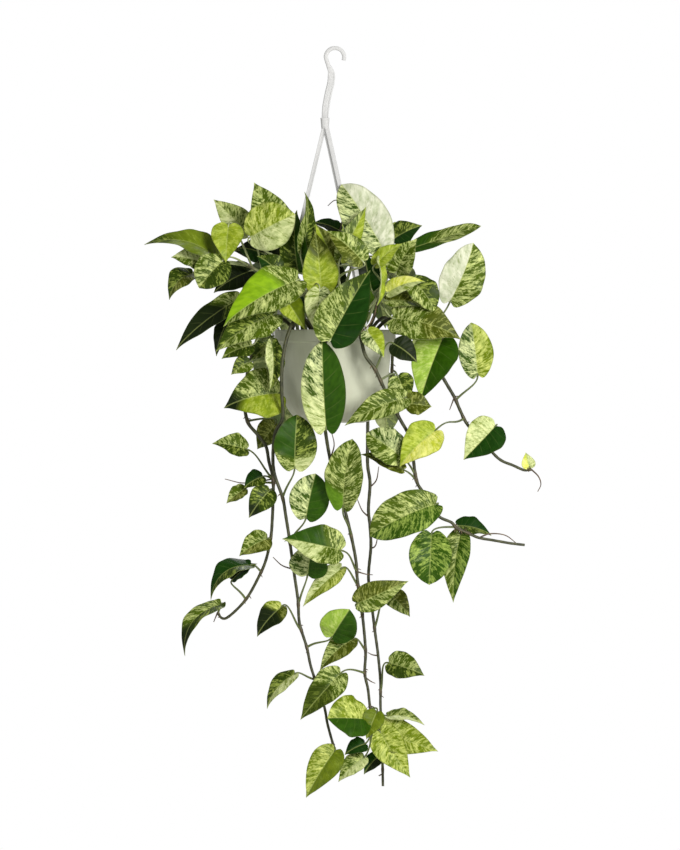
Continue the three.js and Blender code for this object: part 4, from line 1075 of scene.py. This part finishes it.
MARBLING = [                # scale along and across the leaf, offset, detail, roughness, weight
    (620, 380, 7.7, 2, .6, .32),        # flecks
    (380, 95, 3.1, 2.5, .6, .38),       # streaks out from the midrib
    (120, 70, 0, 1.5, .5, .30),         # blotches
]
SEEDS_APART = 37            # how far apart in the noise two leaves may lie
# Cloudiness of a leaf's colour, partly its own tone and partly painted light and shade of the
# crumpled blade.
LEAF_TONE_AND_CRUMPLE_SHADE = ((.78, 1.20), (.82, 1.16), (.70, 1.20))    # least and most red, green and blue
VEIN_COLOUR = (.40, .46, .14)
MARGIN_COLOUR = (.05, .065, .012)
UNDER_COLOUR = (.27, .33, .12)
CORK_COLOUR = (.13, .085, .045)
FIBRE_COLOUR = (.16, .10, .055)
DUST_COLOUR = (.34, .30, .20)
SCUFF_COLOUR = (.45, .43, .38)


def leaf_material(name, under):
    """Marbled variegation, cut off at each half's own share of green, with a waxy upper
    side and a dull underside."""
    s = Shader(name)
    deep, pale = s.attribute("deep"), s.attribute("pale")
    seed = s.times(pale["Alpha"], SEEDS_APART)
    along, across = s.uv("grain")
    row, column = s.uv("vein")
    out = s.math("ABSOLUTE", column)
    mask = 0.0
    for by_along, by_across, offset, detail, rough, weight in MARBLING:
        spots = s.noise(s.scaled(along, by_along, across, by_across, offset), detail=detail,
                        rough=rough, w=seed)
        mask = s.plus(s.times(spots, weight), mask)
    # The noise gathers round a half, so a share is turned into a cut close to that.
    cut = s.step(deep["Alpha"], 0, 1, (.68, .32), smooth=False)
    rise = s.math("SUBTRACT", mask, cut)
    # A half tone lies round the green.
    half_tone = s.mix(.48, pale["Color"], deep["Color"])
    colour = s.mix(s.step(rise, -.080, -.030), pale["Color"], half_tone)
    colour = s.mix(s.step(rise, -.008, .020), colour, deep["Color"])
    # Cells and faint cloudiness: partly the leaf's own tone, partly painted light and shade of its
    # crumpled surface.
    cloud = s.noise(s.scaled(along, 160, across, 160, 1.3), detail=3, w=seed)
    colour = s.shaded(colour, *(s.step(cloud, .3, .7, to) for to in LEAF_TONE_AND_CRUMPLE_SHADE))
    # The midrib and the lateral veins are paler.
    rib = s.step(s.math("ABSOLUTE", across), .0004, .0013, (1, 0))
    vein = s.math("ABSOLUTE", s.math("SINE", s.times(row, math.pi * SIDE_VEINS)))
    vein = s.times(s.step(vein, 0, .16, (1, 0)), s.step(out, .55, .95, (1, 0)))
    lit = s.mix(.5, colour, VEIN_COLOUR)
    colour = s.mix(s.times(rib, .75), colour, lit)
    colour = s.mix(s.times(vein, .18), colour, lit)
    # The margin is a thin darker line.
    colour = s.mix(s.step(out, .91, .99, (0, .35)), colour, MARGIN_COLOUR)
    grain = s.noise(s.scaled(along, 2600, across, 2600), detail=1)
    if under:
        colour = s.mix(.3, colour, UNDER_COLOUR)
        height = s.plus(vein, s.times(grain, .35))
        return s.finish(Base_Color=colour, Roughness=s.step(cloud, .3, .7, (.52, .62)),
                        Normal=s.bump(height, .35, .0004))
    height = s.math("SUBTRACT", s.plus(s.times(cloud, .8), s.times(grain, .22)),
                    s.plus(vein, rib))
    return s.finish(Base_Color=colour, Roughness=s.step(cloud, .3, .7, (.38, .52)),
                    Normal=s.bump(height, .4, .0004), Specular_IOR_Level=.12)


def stem_material():
    """Stem skin: light and dark lengthwise streaks with corky specks."""
    s = Shader("stem_skin")
    light, dark = s.attribute("pale")["Color"], s.attribute("deep")["Color"]
    far, around = s.uv("grain")
    streak = s.noise(s.scaled(far, 110, around, 900), detail=3, rough=.6)
    speck = s.noise(s.scaled(far, 700, around, 900, 5), detail=2)
    colour = s.mix(s.step(streak, .40, .62), dark, light)
    colour = s.mix(s.step(speck, .64, .72, (0, .55)), colour, CORK_COLOUR)
    return s.finish(Base_Color=colour, Roughness=s.step(streak, .3, .7, (.62, .45)),
                    Normal=s.bump(s.plus(streak, s.times(speck, .6)), .5, .0005))


def plastic_material(name, colour, dirt, rough):
    """Moulded white plastic: a faint cloudiness, fine scuffs and, low down, a little dust."""
    s = Shader(name)
    place = s.node("TexCoord").outputs["Object"]
    x, y, z = s.split(place)
    cloud = s.noise(place, scale=28, detail=3)
    around = s.times(s.math("ARCTAN2", y, x), .07)      # at 7 cm from the axis
    flow = s.noise(s.scaled(around, 150, z, 30), detail=4, rough=.65)
    scuff = s.noise(place, scale=420, detail=3, rough=.7)
    shade = s.step(s.plus(cloud, flow), .75, 1.3, (.95, 1.03))
    base = s.shaded(colour, shade, shade, shade)
    low = s.step(z, mm(RIM_Z - POT_HEIGHT), mm(RIM_Z - .45 * POT_HEIGHT), (1, 0))
    dusty = s.times(s.times(low, dirt), s.step(flow, .42, .66))
    base = s.mix(dusty, base, DUST_COLOUR)
    base = s.mix(s.step(scuff, .62, .75, (0, .10)), base, SCUFF_COLOUR)
    return s.finish(Base_Color=base, Roughness=s.step(scuff, .35, .7, (rough, rough + .16)),
                    Normal=s.bump(s.plus(s.times(scuff, .5), cloud), .18, .0006),
                    Specular_IOR_Level=.3)


def soil_material(name, colours, scale):
    """Dark and light clods, with a few paler fibres."""
    s = Shader(name)
    place = s.node("TexCoord").outputs["Object"]
    clod = s.noise(place, scale=scale, detail=5, rough=.65)
    fibre = s.noise(place, scale=scale * 3.1, detail=3, distort=1.5)
    colour = s.mix(s.step(clod, .35, .65), *colours)
    colour = s.mix(s.step(fibre, .6, .72, (0, .5)), colour, FIBRE_COLOUR)
    return s.finish(Base_Color=colour, Roughness=s.step(clod, .3, .7, (.95, .78)),
                    Normal=s.bump(s.plus(clod, fibre), .8, .0015))


# ---------------------------------------------------------------- pot
POT_SIDES = 112
DRILL_REACH = 6             # how far a drill reaches up and down from the pot's underside
DRILL_SIDES = 32


def arc(centre_r, centre_z, radius, start, end, steps=6):
    """Points of a small round in a lathe's profile, from and to an angle in degrees."""
    angles = np.radians(np.linspace(start, end, steps))
    return [(centre_r + radius * math.cos(a), centre_z + radius * math.sin(a)) for a in angles]


def foot_arc(inset, bottom, steps):
    """Profile of the rounded foot, set in from the pot's outside, from `bottom` up."""
    low_r, foot_r = POT_LOW_R - inset, POT_FOOT_R - inset
    return [(foot_r + (low_r - foot_r) * math.sin(a), bottom + FOOT_RISE * (1 - math.cos(a)))
            for a in np.linspace(0, math.pi / 2, steps + 1)]


def new_object(name, points, faces, materials):
    """An object with smooth faces."""
    mesh = bpy.data.meshes.new(name)
    mesh.from_pydata([tuple(p) for p in points], [], faces)
    for material in materials:
        mesh.materials.append(material)
    mesh.validate()
    mesh.polygons.foreach_set("use_smooth", np.ones(len(mesh.polygons), bool))
    return link(name, mesh)


def lathe(name, profile, sides, materials):
    """Turns a profile of (radius, height), which starts and ends on the axis."""
    profile = mm(profile)
    inner = profile[1:-1]
    angle = 2 * math.pi * np.arange(sides) / sides
    ring = np.stack([np.cos(angle), np.sin(angle)], -1)
    points = np.concatenate([
        np.concatenate([r * ring, np.full((sides, 1), z)], 1) for r, z in inner])
    points = [*points.tolist(), (0, 0, profile[0, 1]), (0, 0, profile[-1, 1])]
    start, end = len(points) - 2, len(points) - 1
    faces = tube_faces(len(inner), sides)[1].tolist()
    top = (len(inner) - 1) * sides
    for k in range(sides):
        after = (k + 1) % sides
        faces += [(start, after, k), (end, top + k, top + after)]
    return new_object(name, points, faces, materials)


def apply_modifiers(item):
    """Makes the shape that an object's modifiers give its own mesh."""
    bpy.context.view_layer.update()
    view = bpy.context.evaluated_depsgraph_get()
    mesh = bpy.data.meshes.new_from_object(item.evaluated_get(view))
    item.modifiers.clear()
    item.data = mesh


def pot_profile(bottom):
    """The pot's section, from the middle of its underside round the rim to its floor."""
    band = RIM_Z - RIM_BAND
    inside = RIM_R - RIM_THICK
    return [
        (0, bottom + UNDERSIDE[0][1]), *((POT_FOOT_R + r, bottom + z) for r, z in UNDERSIDE),
        *foot_arc(0, bottom, 14),
        # The wall, with a point partway up, and the underside of the band.
        (POT_LOW_R + .42 * (POT_TOP_R - POT_LOW_R),
         bottom + FOOT_RISE + .42 * (POT_HEIGHT - FOOT_RISE - RIM_BAND)),
        (POT_TOP_R - .1, band - NECK_ROUND - 1),
        *arc(POT_TOP_R + NECK_ROUND, band - NECK_ROUND, NECK_ROUND, 180, 90, 5),
        (RIM_R - BAND_ROUND - .4, band),
        *arc(RIM_R - BAND_ROUND, band + BAND_ROUND, BAND_ROUND, -90, 0, 5),
        (RIM_R - BAND_HOLLOW, band + .5 * RIM_BAND),
        *arc(RIM_R - RIM_ROUND, RIM_Z - RIM_ROUND, RIM_ROUND, 0, 90),
        *arc(inside + RIM_ROUND, RIM_Z - RIM_ROUND, RIM_ROUND, 90, 180),
        # Inside, the thick band slopes out to the thinner wall.
        (inside, band - .6), (POT_TOP_R - WALL, band - 3.2),
        *foot_arc(WALL, bottom + WALL, 12)[::-1],
        (0, bottom + WALL),
    ]


def make_pot(material):
    """The pot, with its drain holes."""
    bottom = RIM_Z - POT_HEIGHT
    pot = lathe("pot_shell", pot_profile(bottom), POT_SIDES, [material])
    reach = DRILL_REACH
    drills = []
    for i in range(DRAIN_HOLES):
        a = 2 * math.pi * (i + .5) / DRAIN_HOLES
        drill = lathe(f"drill_{i}", [(0, -reach), (DRAIN_R, -reach), (DRAIN_R, reach),
                                     (0, reach)], DRILL_SIDES, [])
        drill.location = mm(DRAIN_RING_R * math.cos(a), DRAIN_RING_R * math.sin(a), bottom)
        cut = pot.modifiers.new("drain", "BOOLEAN")
        cut.operation, cut.solver, cut.object = "DIFFERENCE", "EXACT", drill
        drills.append(drill)
    apply_modifiers(pot)
    for drill in drills:
        bpy.data.objects.remove(drill)
    pot.data.set_sharp_from_angle(angle=math.radians(40))
    return pot


# ---------------------------------------------------------------- soil
BARK, PERLITE = 1, 2        # their places in this table
SOIL_LOOKS = [              # a material's name, its two colours and the scale of its clods
    ("potting_mix", ((.035, .022, .014), (.075, .048, .03)), 260),
    ("bark", ((.10, .06, .035), (.20, .13, .08)), 330),
    ("perlite", ((.62, .60, .56), (.80, .79, .76)), 500),
]
BIT_SIZES = {               # least and most of half the length, then width and height to that
    BARK: ((1.4, 4.6), (.3, .7), (.18, .4)),
    PERLITE: ((1.0, 2.0), (.75, 1), (.6, .9)),
}
BITS = 520
PERLITE_EVERY = 6           # one bit in so many is perlite
SOIL_SIDES = 96
SOIL_RINGS = 26
SOIL_ROUGH = 1.7            # height of the clods, in millimetres
SOIL_INSET = WALL + GAP
SOIL_R = POT_TOP_R - SOIL_INSET - 1
SOIL_DIP = 1                # how much lower the soil's top is at its edge


def dome(share):
    """Height of the soil's top, in millimetres, at a share of the way out to its edge."""
    return RIM_Z - SOIL_DROP - SOIL_DIP + (SOIL_DIP + SOIL_DOME) * (1 - share ** 2)


def make_mix(materials):
    """The plug of potting mix, with a rough top."""
    bottom = RIM_Z - POT_HEIGHT + SOIL_INSET
    rings = [(SOIL_R * k / SOIL_RINGS, dome(k / SOIL_RINGS)) for k in range(SOIL_RINGS, -1, -1)]
    soil = lathe("soil_mix", [(0, bottom), *foot_arc(SOIL_INSET, bottom, 10), *rings],
                 SOIL_SIDES, materials)
    for vertex in soil.data.vertices:
        x, y, z = vertex.co
        if z > mm(dome(1) - 1):
            far = 1 - min(1, math.hypot(x, y) / mm(SOIL_R)) ** 6
            rough = noise.fractal((x * 90, y * 90, 3), .7, 2.1, 5)
            vertex.co.z += mm(SOIL_ROUGH) * rough * far
    return soil


def icosphere():
    """Points and faces of a ball of radius 1."""
    made = bmesh.new()
    bmesh.ops.create_icosphere(made, subdivisions=2, radius=1)
    made.verts.index_update()
    points = [tuple(v.co) for v in made.verts]
    faces = [tuple(v.index for v in face.verts) for face in made.faces]
    made.free()
    return points, faces


def make_bits(materials):
    """Bits of bark and grains of perlite on the soil."""
    rng = random.Random(7)
    points, faces, slots = [], [], []
    ball, ball_faces = icosphere()
    for k in range(BITS):
        r, a = SOIL_R * .97 * math.sqrt(rng.random()), rng.uniform(0, 2 * math.pi)
        kind = PERLITE if k % PERLITE_EVERY == 0 else BARK
        length, width, height = (rng.uniform(*limits) for limits in BIT_SIZES[kind])
        size = length, length * width, length * height
        z = dome(r / SOIL_R) + .4 * size[2]
        place = turned(math.degrees(rng.uniform(0, math.pi)), r * math.cos(a), r * math.sin(a))
        faces += [tuple(len(points) + i for i in face) for face in ball_faces]
        slots += [kind] * len(ball_faces)
        for point in ball:
            x, y, up = (p * s * rng.uniform(.82, 1.12) for p, s in zip(point, size))
            points.append(place(x, y, z + up))
    bits = new_object("soil_bits", points, faces, materials)
    bits.data.polygons.foreach_set("material_index", np.array(slots, np.int32))
    return bits


def make_soil(materials):
    return make_mix(materials), make_bits(materials)


# ---------------------------------------------------------------- hanger
CORNER_STEPS = 3
HOOK_CORNER = 1.4           # rounding of each bar's section, in millimetres
STRAP_CORNER = .8
RIB_CORNER = .4
KNUCKLE_CORNER = 3.8
ARM_CORNER = .6
EDGE_ROUND = .35            # rounding of all sharp edges
RECESS_EDGE = 1             # from an arm's edges to the recess in each of its sides
RECESS_SLOPE = .3
RECESS_DEPTH = .35
ARM_POINTS = 7
BAR_STEP = 3                # along a bar, unless it is finer
HOOK_BAR_STEP = 1.5
KNUCKLE_STEP = 1


def rounded_section(wide, thick, corner):
    """Points round a rectangle with round corners, `wide` across and `thick` in the plane."""
    points = []
    for sx, sy, start in ((1, 1, 0), (-1, 1, 90), (-1, -1, 180), (1, -1, 270)):
        for k in range(CORNER_STEPS + 1):
            a = math.radians(start + 90 * k / CORNER_STEPS)
            points.append((sx * (wide / 2 - corner) + corner * math.cos(a),
                           sy * (thick / 2 - corner) + corner * math.sin(a)))
    return points


def channel_section(wide, thick, corner):
    """The same with a shallow recess along each of its four sides."""
    corners, points = rounded_section(wide, thick, corner), []
    each = CORNER_STEPS + 1
    for k, (half, away, normal) in enumerate((
            (wide / 2, thick / 2, (0, 1)), (thick / 2, wide / 2, (-1, 0)),
            (wide / 2, thick / 2, (0, -1)), (thick / 2, wide / 2, (1, 0)))):
        points += corners[k * each:(k + 1) * each]
        ahead = (-normal[1], normal[0])
        lip = half - RECESS_EDGE
        foot = lip - RECESS_SLOPE
        for t, sunk in ((lip, 0), (foot, RECESS_DEPTH), (-foot, RECESS_DEPTH), (-lip, 0)):
            points.append(tuple(normal[i] * (away - sunk) - ahead[i] * t for i in (0, 1)))
    return points


def turned(angle, x=0.0, y=0.0):
    """A function that turns (reach, across, height) by an angle in degrees and moves it to
    a place. It gives the point in metres."""
    c, s = math.cos(math.radians(angle)), math.sin(math.radians(angle))

    def place(reach, across, height):
        return mm(x + reach * c - across * s, y + reach * s + across * c, height)
    return place


def strap_width(share):
    """The strap is narrower at its top, and a little at its foot."""
    return STRAP_WIDTH * (.62 + .38 * min(1, share * 5)) - 1.6 * max(0, share - .7) / .3


def knuckle_size(share):
    return KNUCKLE_TOP - KNUCKLE_TAPER * share


def add_bar(points, faces, route, thick, width, corner, place, step=BAR_STEP,
            shape=rounded_section):
    """A bar of round-edged section along a route of (reach, height). The thickness lies in
    the route's plane. Each may be a number or a function of the share of the way."""
    line, _ = smooth_line(route, step)
    along = unit(np.gradient(line, axis=0))
    off = np.stack([-along[:, 1], along[:, 0]], -1)
    first, rows = len(points), len(line)
    for i in range(rows):
        share = i / (rows - 1)
        t, w = (size(share) if callable(size) else size for size in (thick, width))
        section = shape(w, t, min(corner, t / 2.2, w / 2.2))
        for across, out in section:
            r, z = line[i] + off[i] * out
            points.append(place(r, across, z))
    sides = len(section)
    numbers = list(range(first, len(points)))
    faces += tube_faces(rows, sides, first)[1].tolist()
    faces += [numbers[:sides][::-1], numbers[-sides:]]


def add_plate(points, faces, outline, width, place):
    """A flat outline of (reach, height), as thick as `width`."""
    first, count = len(points), len(outline)
    for across in (-width / 2, width / 2):
        points += [place(r, across, z) for r, z in outline]
    near = list(range(first, first + count))
    far = [number + count for number in near]
    faces += [near, far[::-1]]
    for k in range(count):
        after = (k + 1) % count
        faces.append([near[after], near[k], far[k], far[after]])


def hook_route():
    """The middle of the hook's bar, from its free end over the top and down to its neck."""
    middle = HOOK_R + HOOK_BAR / 2
    route = []
    for degrees in range(HOOK_FROM, HOOK_TO + 1, HOOK_STEP):
        a = math.radians(degrees)
        route.append((middle * math.cos(a), -HOOK_R + middle * math.sin(a)))
    return [*route, NECK, NECK_END]


def clip_outline():
    """A clip from the side, over the rim with a catch under the band."""
    inside = RIM_R - RIM_THICK - GAP - CLIP_THICK
    outside = RIM_R + GAP + CLIP_THICK
    seat, low = RIM_Z + GAP, RIM_Z - RIM_BAND - GAP
    wall = outside - CLIP_THICK
    return [
        (inside + .3, RIM_Z - CLIP_DROP), (inside + .7 * CLIP_THICK, RIM_Z - CLIP_DROP),
        (inside + CLIP_THICK, seat), (wall, seat), (wall, low), (wall - CLIP_CATCH, low),
        (wall - CLIP_CATCH, low - .5 * CLIP_THICK), (wall - .3 * CLIP_CATCH, low - CLIP_THICK),
        (outside - .6, low - CLIP_THICK), (outside, low - .5 * CLIP_THICK),
        (outside, seat + .4 * CLIP_THICK), (outside - .8, seat + CLIP_THICK),
        (inside + .8, seat + CLIP_THICK), (inside, seat + .4 * CLIP_THICK),
    ]


def add_strap(points, faces):
    """The hook, the strap with a rib down each side, and the knuckle."""
    flat = turned(0)
    add_bar(points, faces, hook_route(), HOOK_BAR, HOOK_THICK, HOOK_CORNER, flat, HOOK_BAR_STEP)
    add_bar(points, faces, [STRAP_TOP, *STRAP_ROUTE], strap_width, STRAP_THICK, STRAP_CORNER,
            flat)
    for place in (-RIB_PLACE, RIB_PLACE):
        route = [(x + place * STRAP_WIDTH, z) for x, z in STRAP_ROUTE[:-1]]
        add_bar(points, faces, route, RIB_WIDTH, STRAP_THICK + RIB_RISE, RIB_CORNER, flat)
    route = [(SPLIT[0], SPLIT[2] + KNUCKLE_HALF), (SPLIT[0], SPLIT[2] - KNUCKLE_HALF)]
    add_bar(points, faces, route, knuckle_size, knuckle_size, KNUCKLE_CORNER, flat,
            KNUCKLE_STEP)


def add_arm(points, faces, angle, bow):
    """An arm from the knuckle to the rim, and its clip."""
    sx, sy, sz = SPLIT
    seat = RIM_R - RIM_THICK / 2
    bottom = RIM_Z + GAP + CLIP_THICK
    a = math.radians(angle)
    dx, dy = seat * math.cos(a) - sx, seat * math.sin(a) - sy
    reach, turn = math.hypot(dx, dy), math.degrees(math.atan2(dy, dx))
    route = [(reach * t + bow * math.sin(math.pi * t), sz + (bottom - sz) * t)
             for t in np.linspace(0, 1, ARM_POINTS)]
    add_bar(points, faces, route, ARM_THICK, ARM_WIDTH, ARM_CORNER, turned(turn, sx, sy),
            shape=channel_section)
    add_plate(points, faces, clip_outline(), ARM_WIDTH, turned(angle))


def make_hanger(material):
    """The hanger, one moulding of hook, strap, knuckle, three arms and their clips."""
    points, faces = [], []
    add_strap(points, faces)
    for angle, bow in zip(ARM_ANGLES, ARM_BOW):
        add_arm(points, faces, angle, bow)
    hanger = new_object("hanger_moulding", points, faces, [material])
    made = bmesh.new()
    made.from_mesh(hanger.data)
    bmesh.ops.recalc_face_normals(made, faces=made.faces)
    made.to_mesh(hanger.data)
    made.free()
    bevel = hanger.modifiers.new("round", "BEVEL")
    bevel.width, bevel.segments = mm(EDGE_ROUND), 2
    bevel.limit_method, bevel.angle_limit = "ANGLE", math.radians(38)
    bevel.harden_normals = True
    apply_modifiers(hanger)
    for vertex in hanger.data.vertices:        # the hook's top is a faceted arc in the CAD
        vertex.co.z = min(vertex.co.z, cad_box[1][2])
    hanger.data.set_sharp_from_angle(angle=math.radians(42))
    return hanger


# ---------------------------------------------------------------- camera, light and floor
LIGHTS = [                  # name, place and size in metres, watts, colour
    ("key", (1.5, -2.5, .35), 1.2, 86, (1, .99, .96)),
    ("fill", (-2.2, -2.2, -.3), 1.6, 13, (1, 1, .96)),
    ("back", (.4, 2.2, 1.2), 1.6, 26, (1, 1, 1)),
]
LIGHT_AIM = (0, 0, -.42)
WORLD_LIGHT = ((1, 1, .96, 1), .34)     # colour and strength
FLOOR_R, FLOOR_Z = 2.2, -1.2            # metres
FLOOR_SIDES = 96


def photo_place(px, py):
    """X and Z, in metres, of a pixel of the photograph in the plane of the pot's axis."""
    return mm((px - AXIS_X) * PIXEL), mm((HOOK_Y - py) * PIXEL)


def make_camera():
    """The photograph's view, from far off."""
    x, z = photo_place(IMAGE[0] / 2, IMAGE[1] / 2)
    camera = bpy.data.cameras.new("camera")
    camera.sensor_width = 36
    camera.lens = CAMERA_AWAY * camera.sensor_width / mm(IMAGE[1] * PIXEL)
    camera.clip_start, camera.clip_end = .1, 100
    item = link("camera", camera)
    item.location = (x, -CAMERA_AWAY, z)
    item.rotation_euler = (math.pi / 2, 0, 0)
    bpy.context.scene.camera = item


def add_area(name, where, size, power, colour):
    """A round lamp that looks at the plant."""
    light = bpy.data.lights.new(name, "AREA")
    light.shape, light.size = "DISK", size
    light.energy, light.color = power, colour
    item = link(name, light)
    item.location = where
    item.rotation_euler = (Vector(LIGHT_AIM) - Vector(where)).to_track_quat("-Z", "Y").to_euler()


def make_world():
    """A backdrop that is white to the camera, and lights the plant more dimly."""
    world = bpy.data.worlds.new("studio")
    bpy.context.scene.world = world
    world.use_nodes = True
    tree = world.node_tree
    tree.nodes.clear()
    path = tree.nodes.new("ShaderNodeLightPath")
    mix = tree.nodes.new("ShaderNodeMixShader")
    out = tree.nodes.new("ShaderNodeOutputWorld")
    for socket, (colour, strength) in ((1, WORLD_LIGHT), (2, ((1, 1, 1, 1), 1))):
        shade = tree.nodes.new("ShaderNodeBackground")
        shade.inputs["Color"].default_value = colour
        shade.inputs["Strength"].default_value = strength
        tree.links.new(shade.outputs[0], mix.inputs[socket])
    tree.links.new(path.outputs["Is Camera Ray"], mix.inputs[0])
    tree.links.new(mix.outputs[0], out.inputs[0])


def make_floor():
    """A pale round floor below the plant, for the views from the side and from above."""
    s = Shader("pale_floor")
    cloud = s.noise(s.node("TexCoord").outputs["Object"], scale=3, detail=4)
    colour = s.mix(cloud, (.78, .78, .77), (.82, .82, .81))
    s.finish(Base_Color=colour, Roughness=.8)
    angle = 2 * math.pi * np.arange(FLOOR_SIDES) / FLOOR_SIDES
    points = [(FLOOR_R * math.cos(a), FLOOR_R * math.sin(a), FLOOR_Z) for a in angle]
    floor = new_object("floor", points, [list(range(FLOOR_SIDES))], [s.material])
    floor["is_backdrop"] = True


# ---------------------------------------------------------------- the whole
make_camera()
for light in LIGHTS:
    add_area(*light)
make_world()
make_floor()

foliage = [leaf_material("leaf_upper", False), leaf_material("leaf_under", True),
           stem_material()]
for number, row in enumerate(STEMS):
    plant = make_foliage(row, number, foliage)
    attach(plant, "root")
    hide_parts(row["name"])

# The pot's white plastic is given an olive tint: painted shade and green light from the leaves round
# it.
pot = make_pot(plastic_material("pot_plastic", (.55, .565, .44), .35, .5))
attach(pot, "root")
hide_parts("pot")

hanger = make_hanger(plastic_material("hanger_plastic", (.57, .57, .575), 0, .42))
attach(hanger, "root")
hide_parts("hanger", "hanger_hook")

for item in make_soil([soil_material(*look) for look in SOIL_LOOKS]):
    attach(item, "root")
    if item.name == "soil_mix":
        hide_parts("soil")

view = bpy.context.scene.view_settings
view.view_transform = "Standard"
view.look = "None"

boxes = {"cad": cad_box, "visual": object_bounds()}
{name: [list(corner) for corner in box] for name, box in boxes.items()}
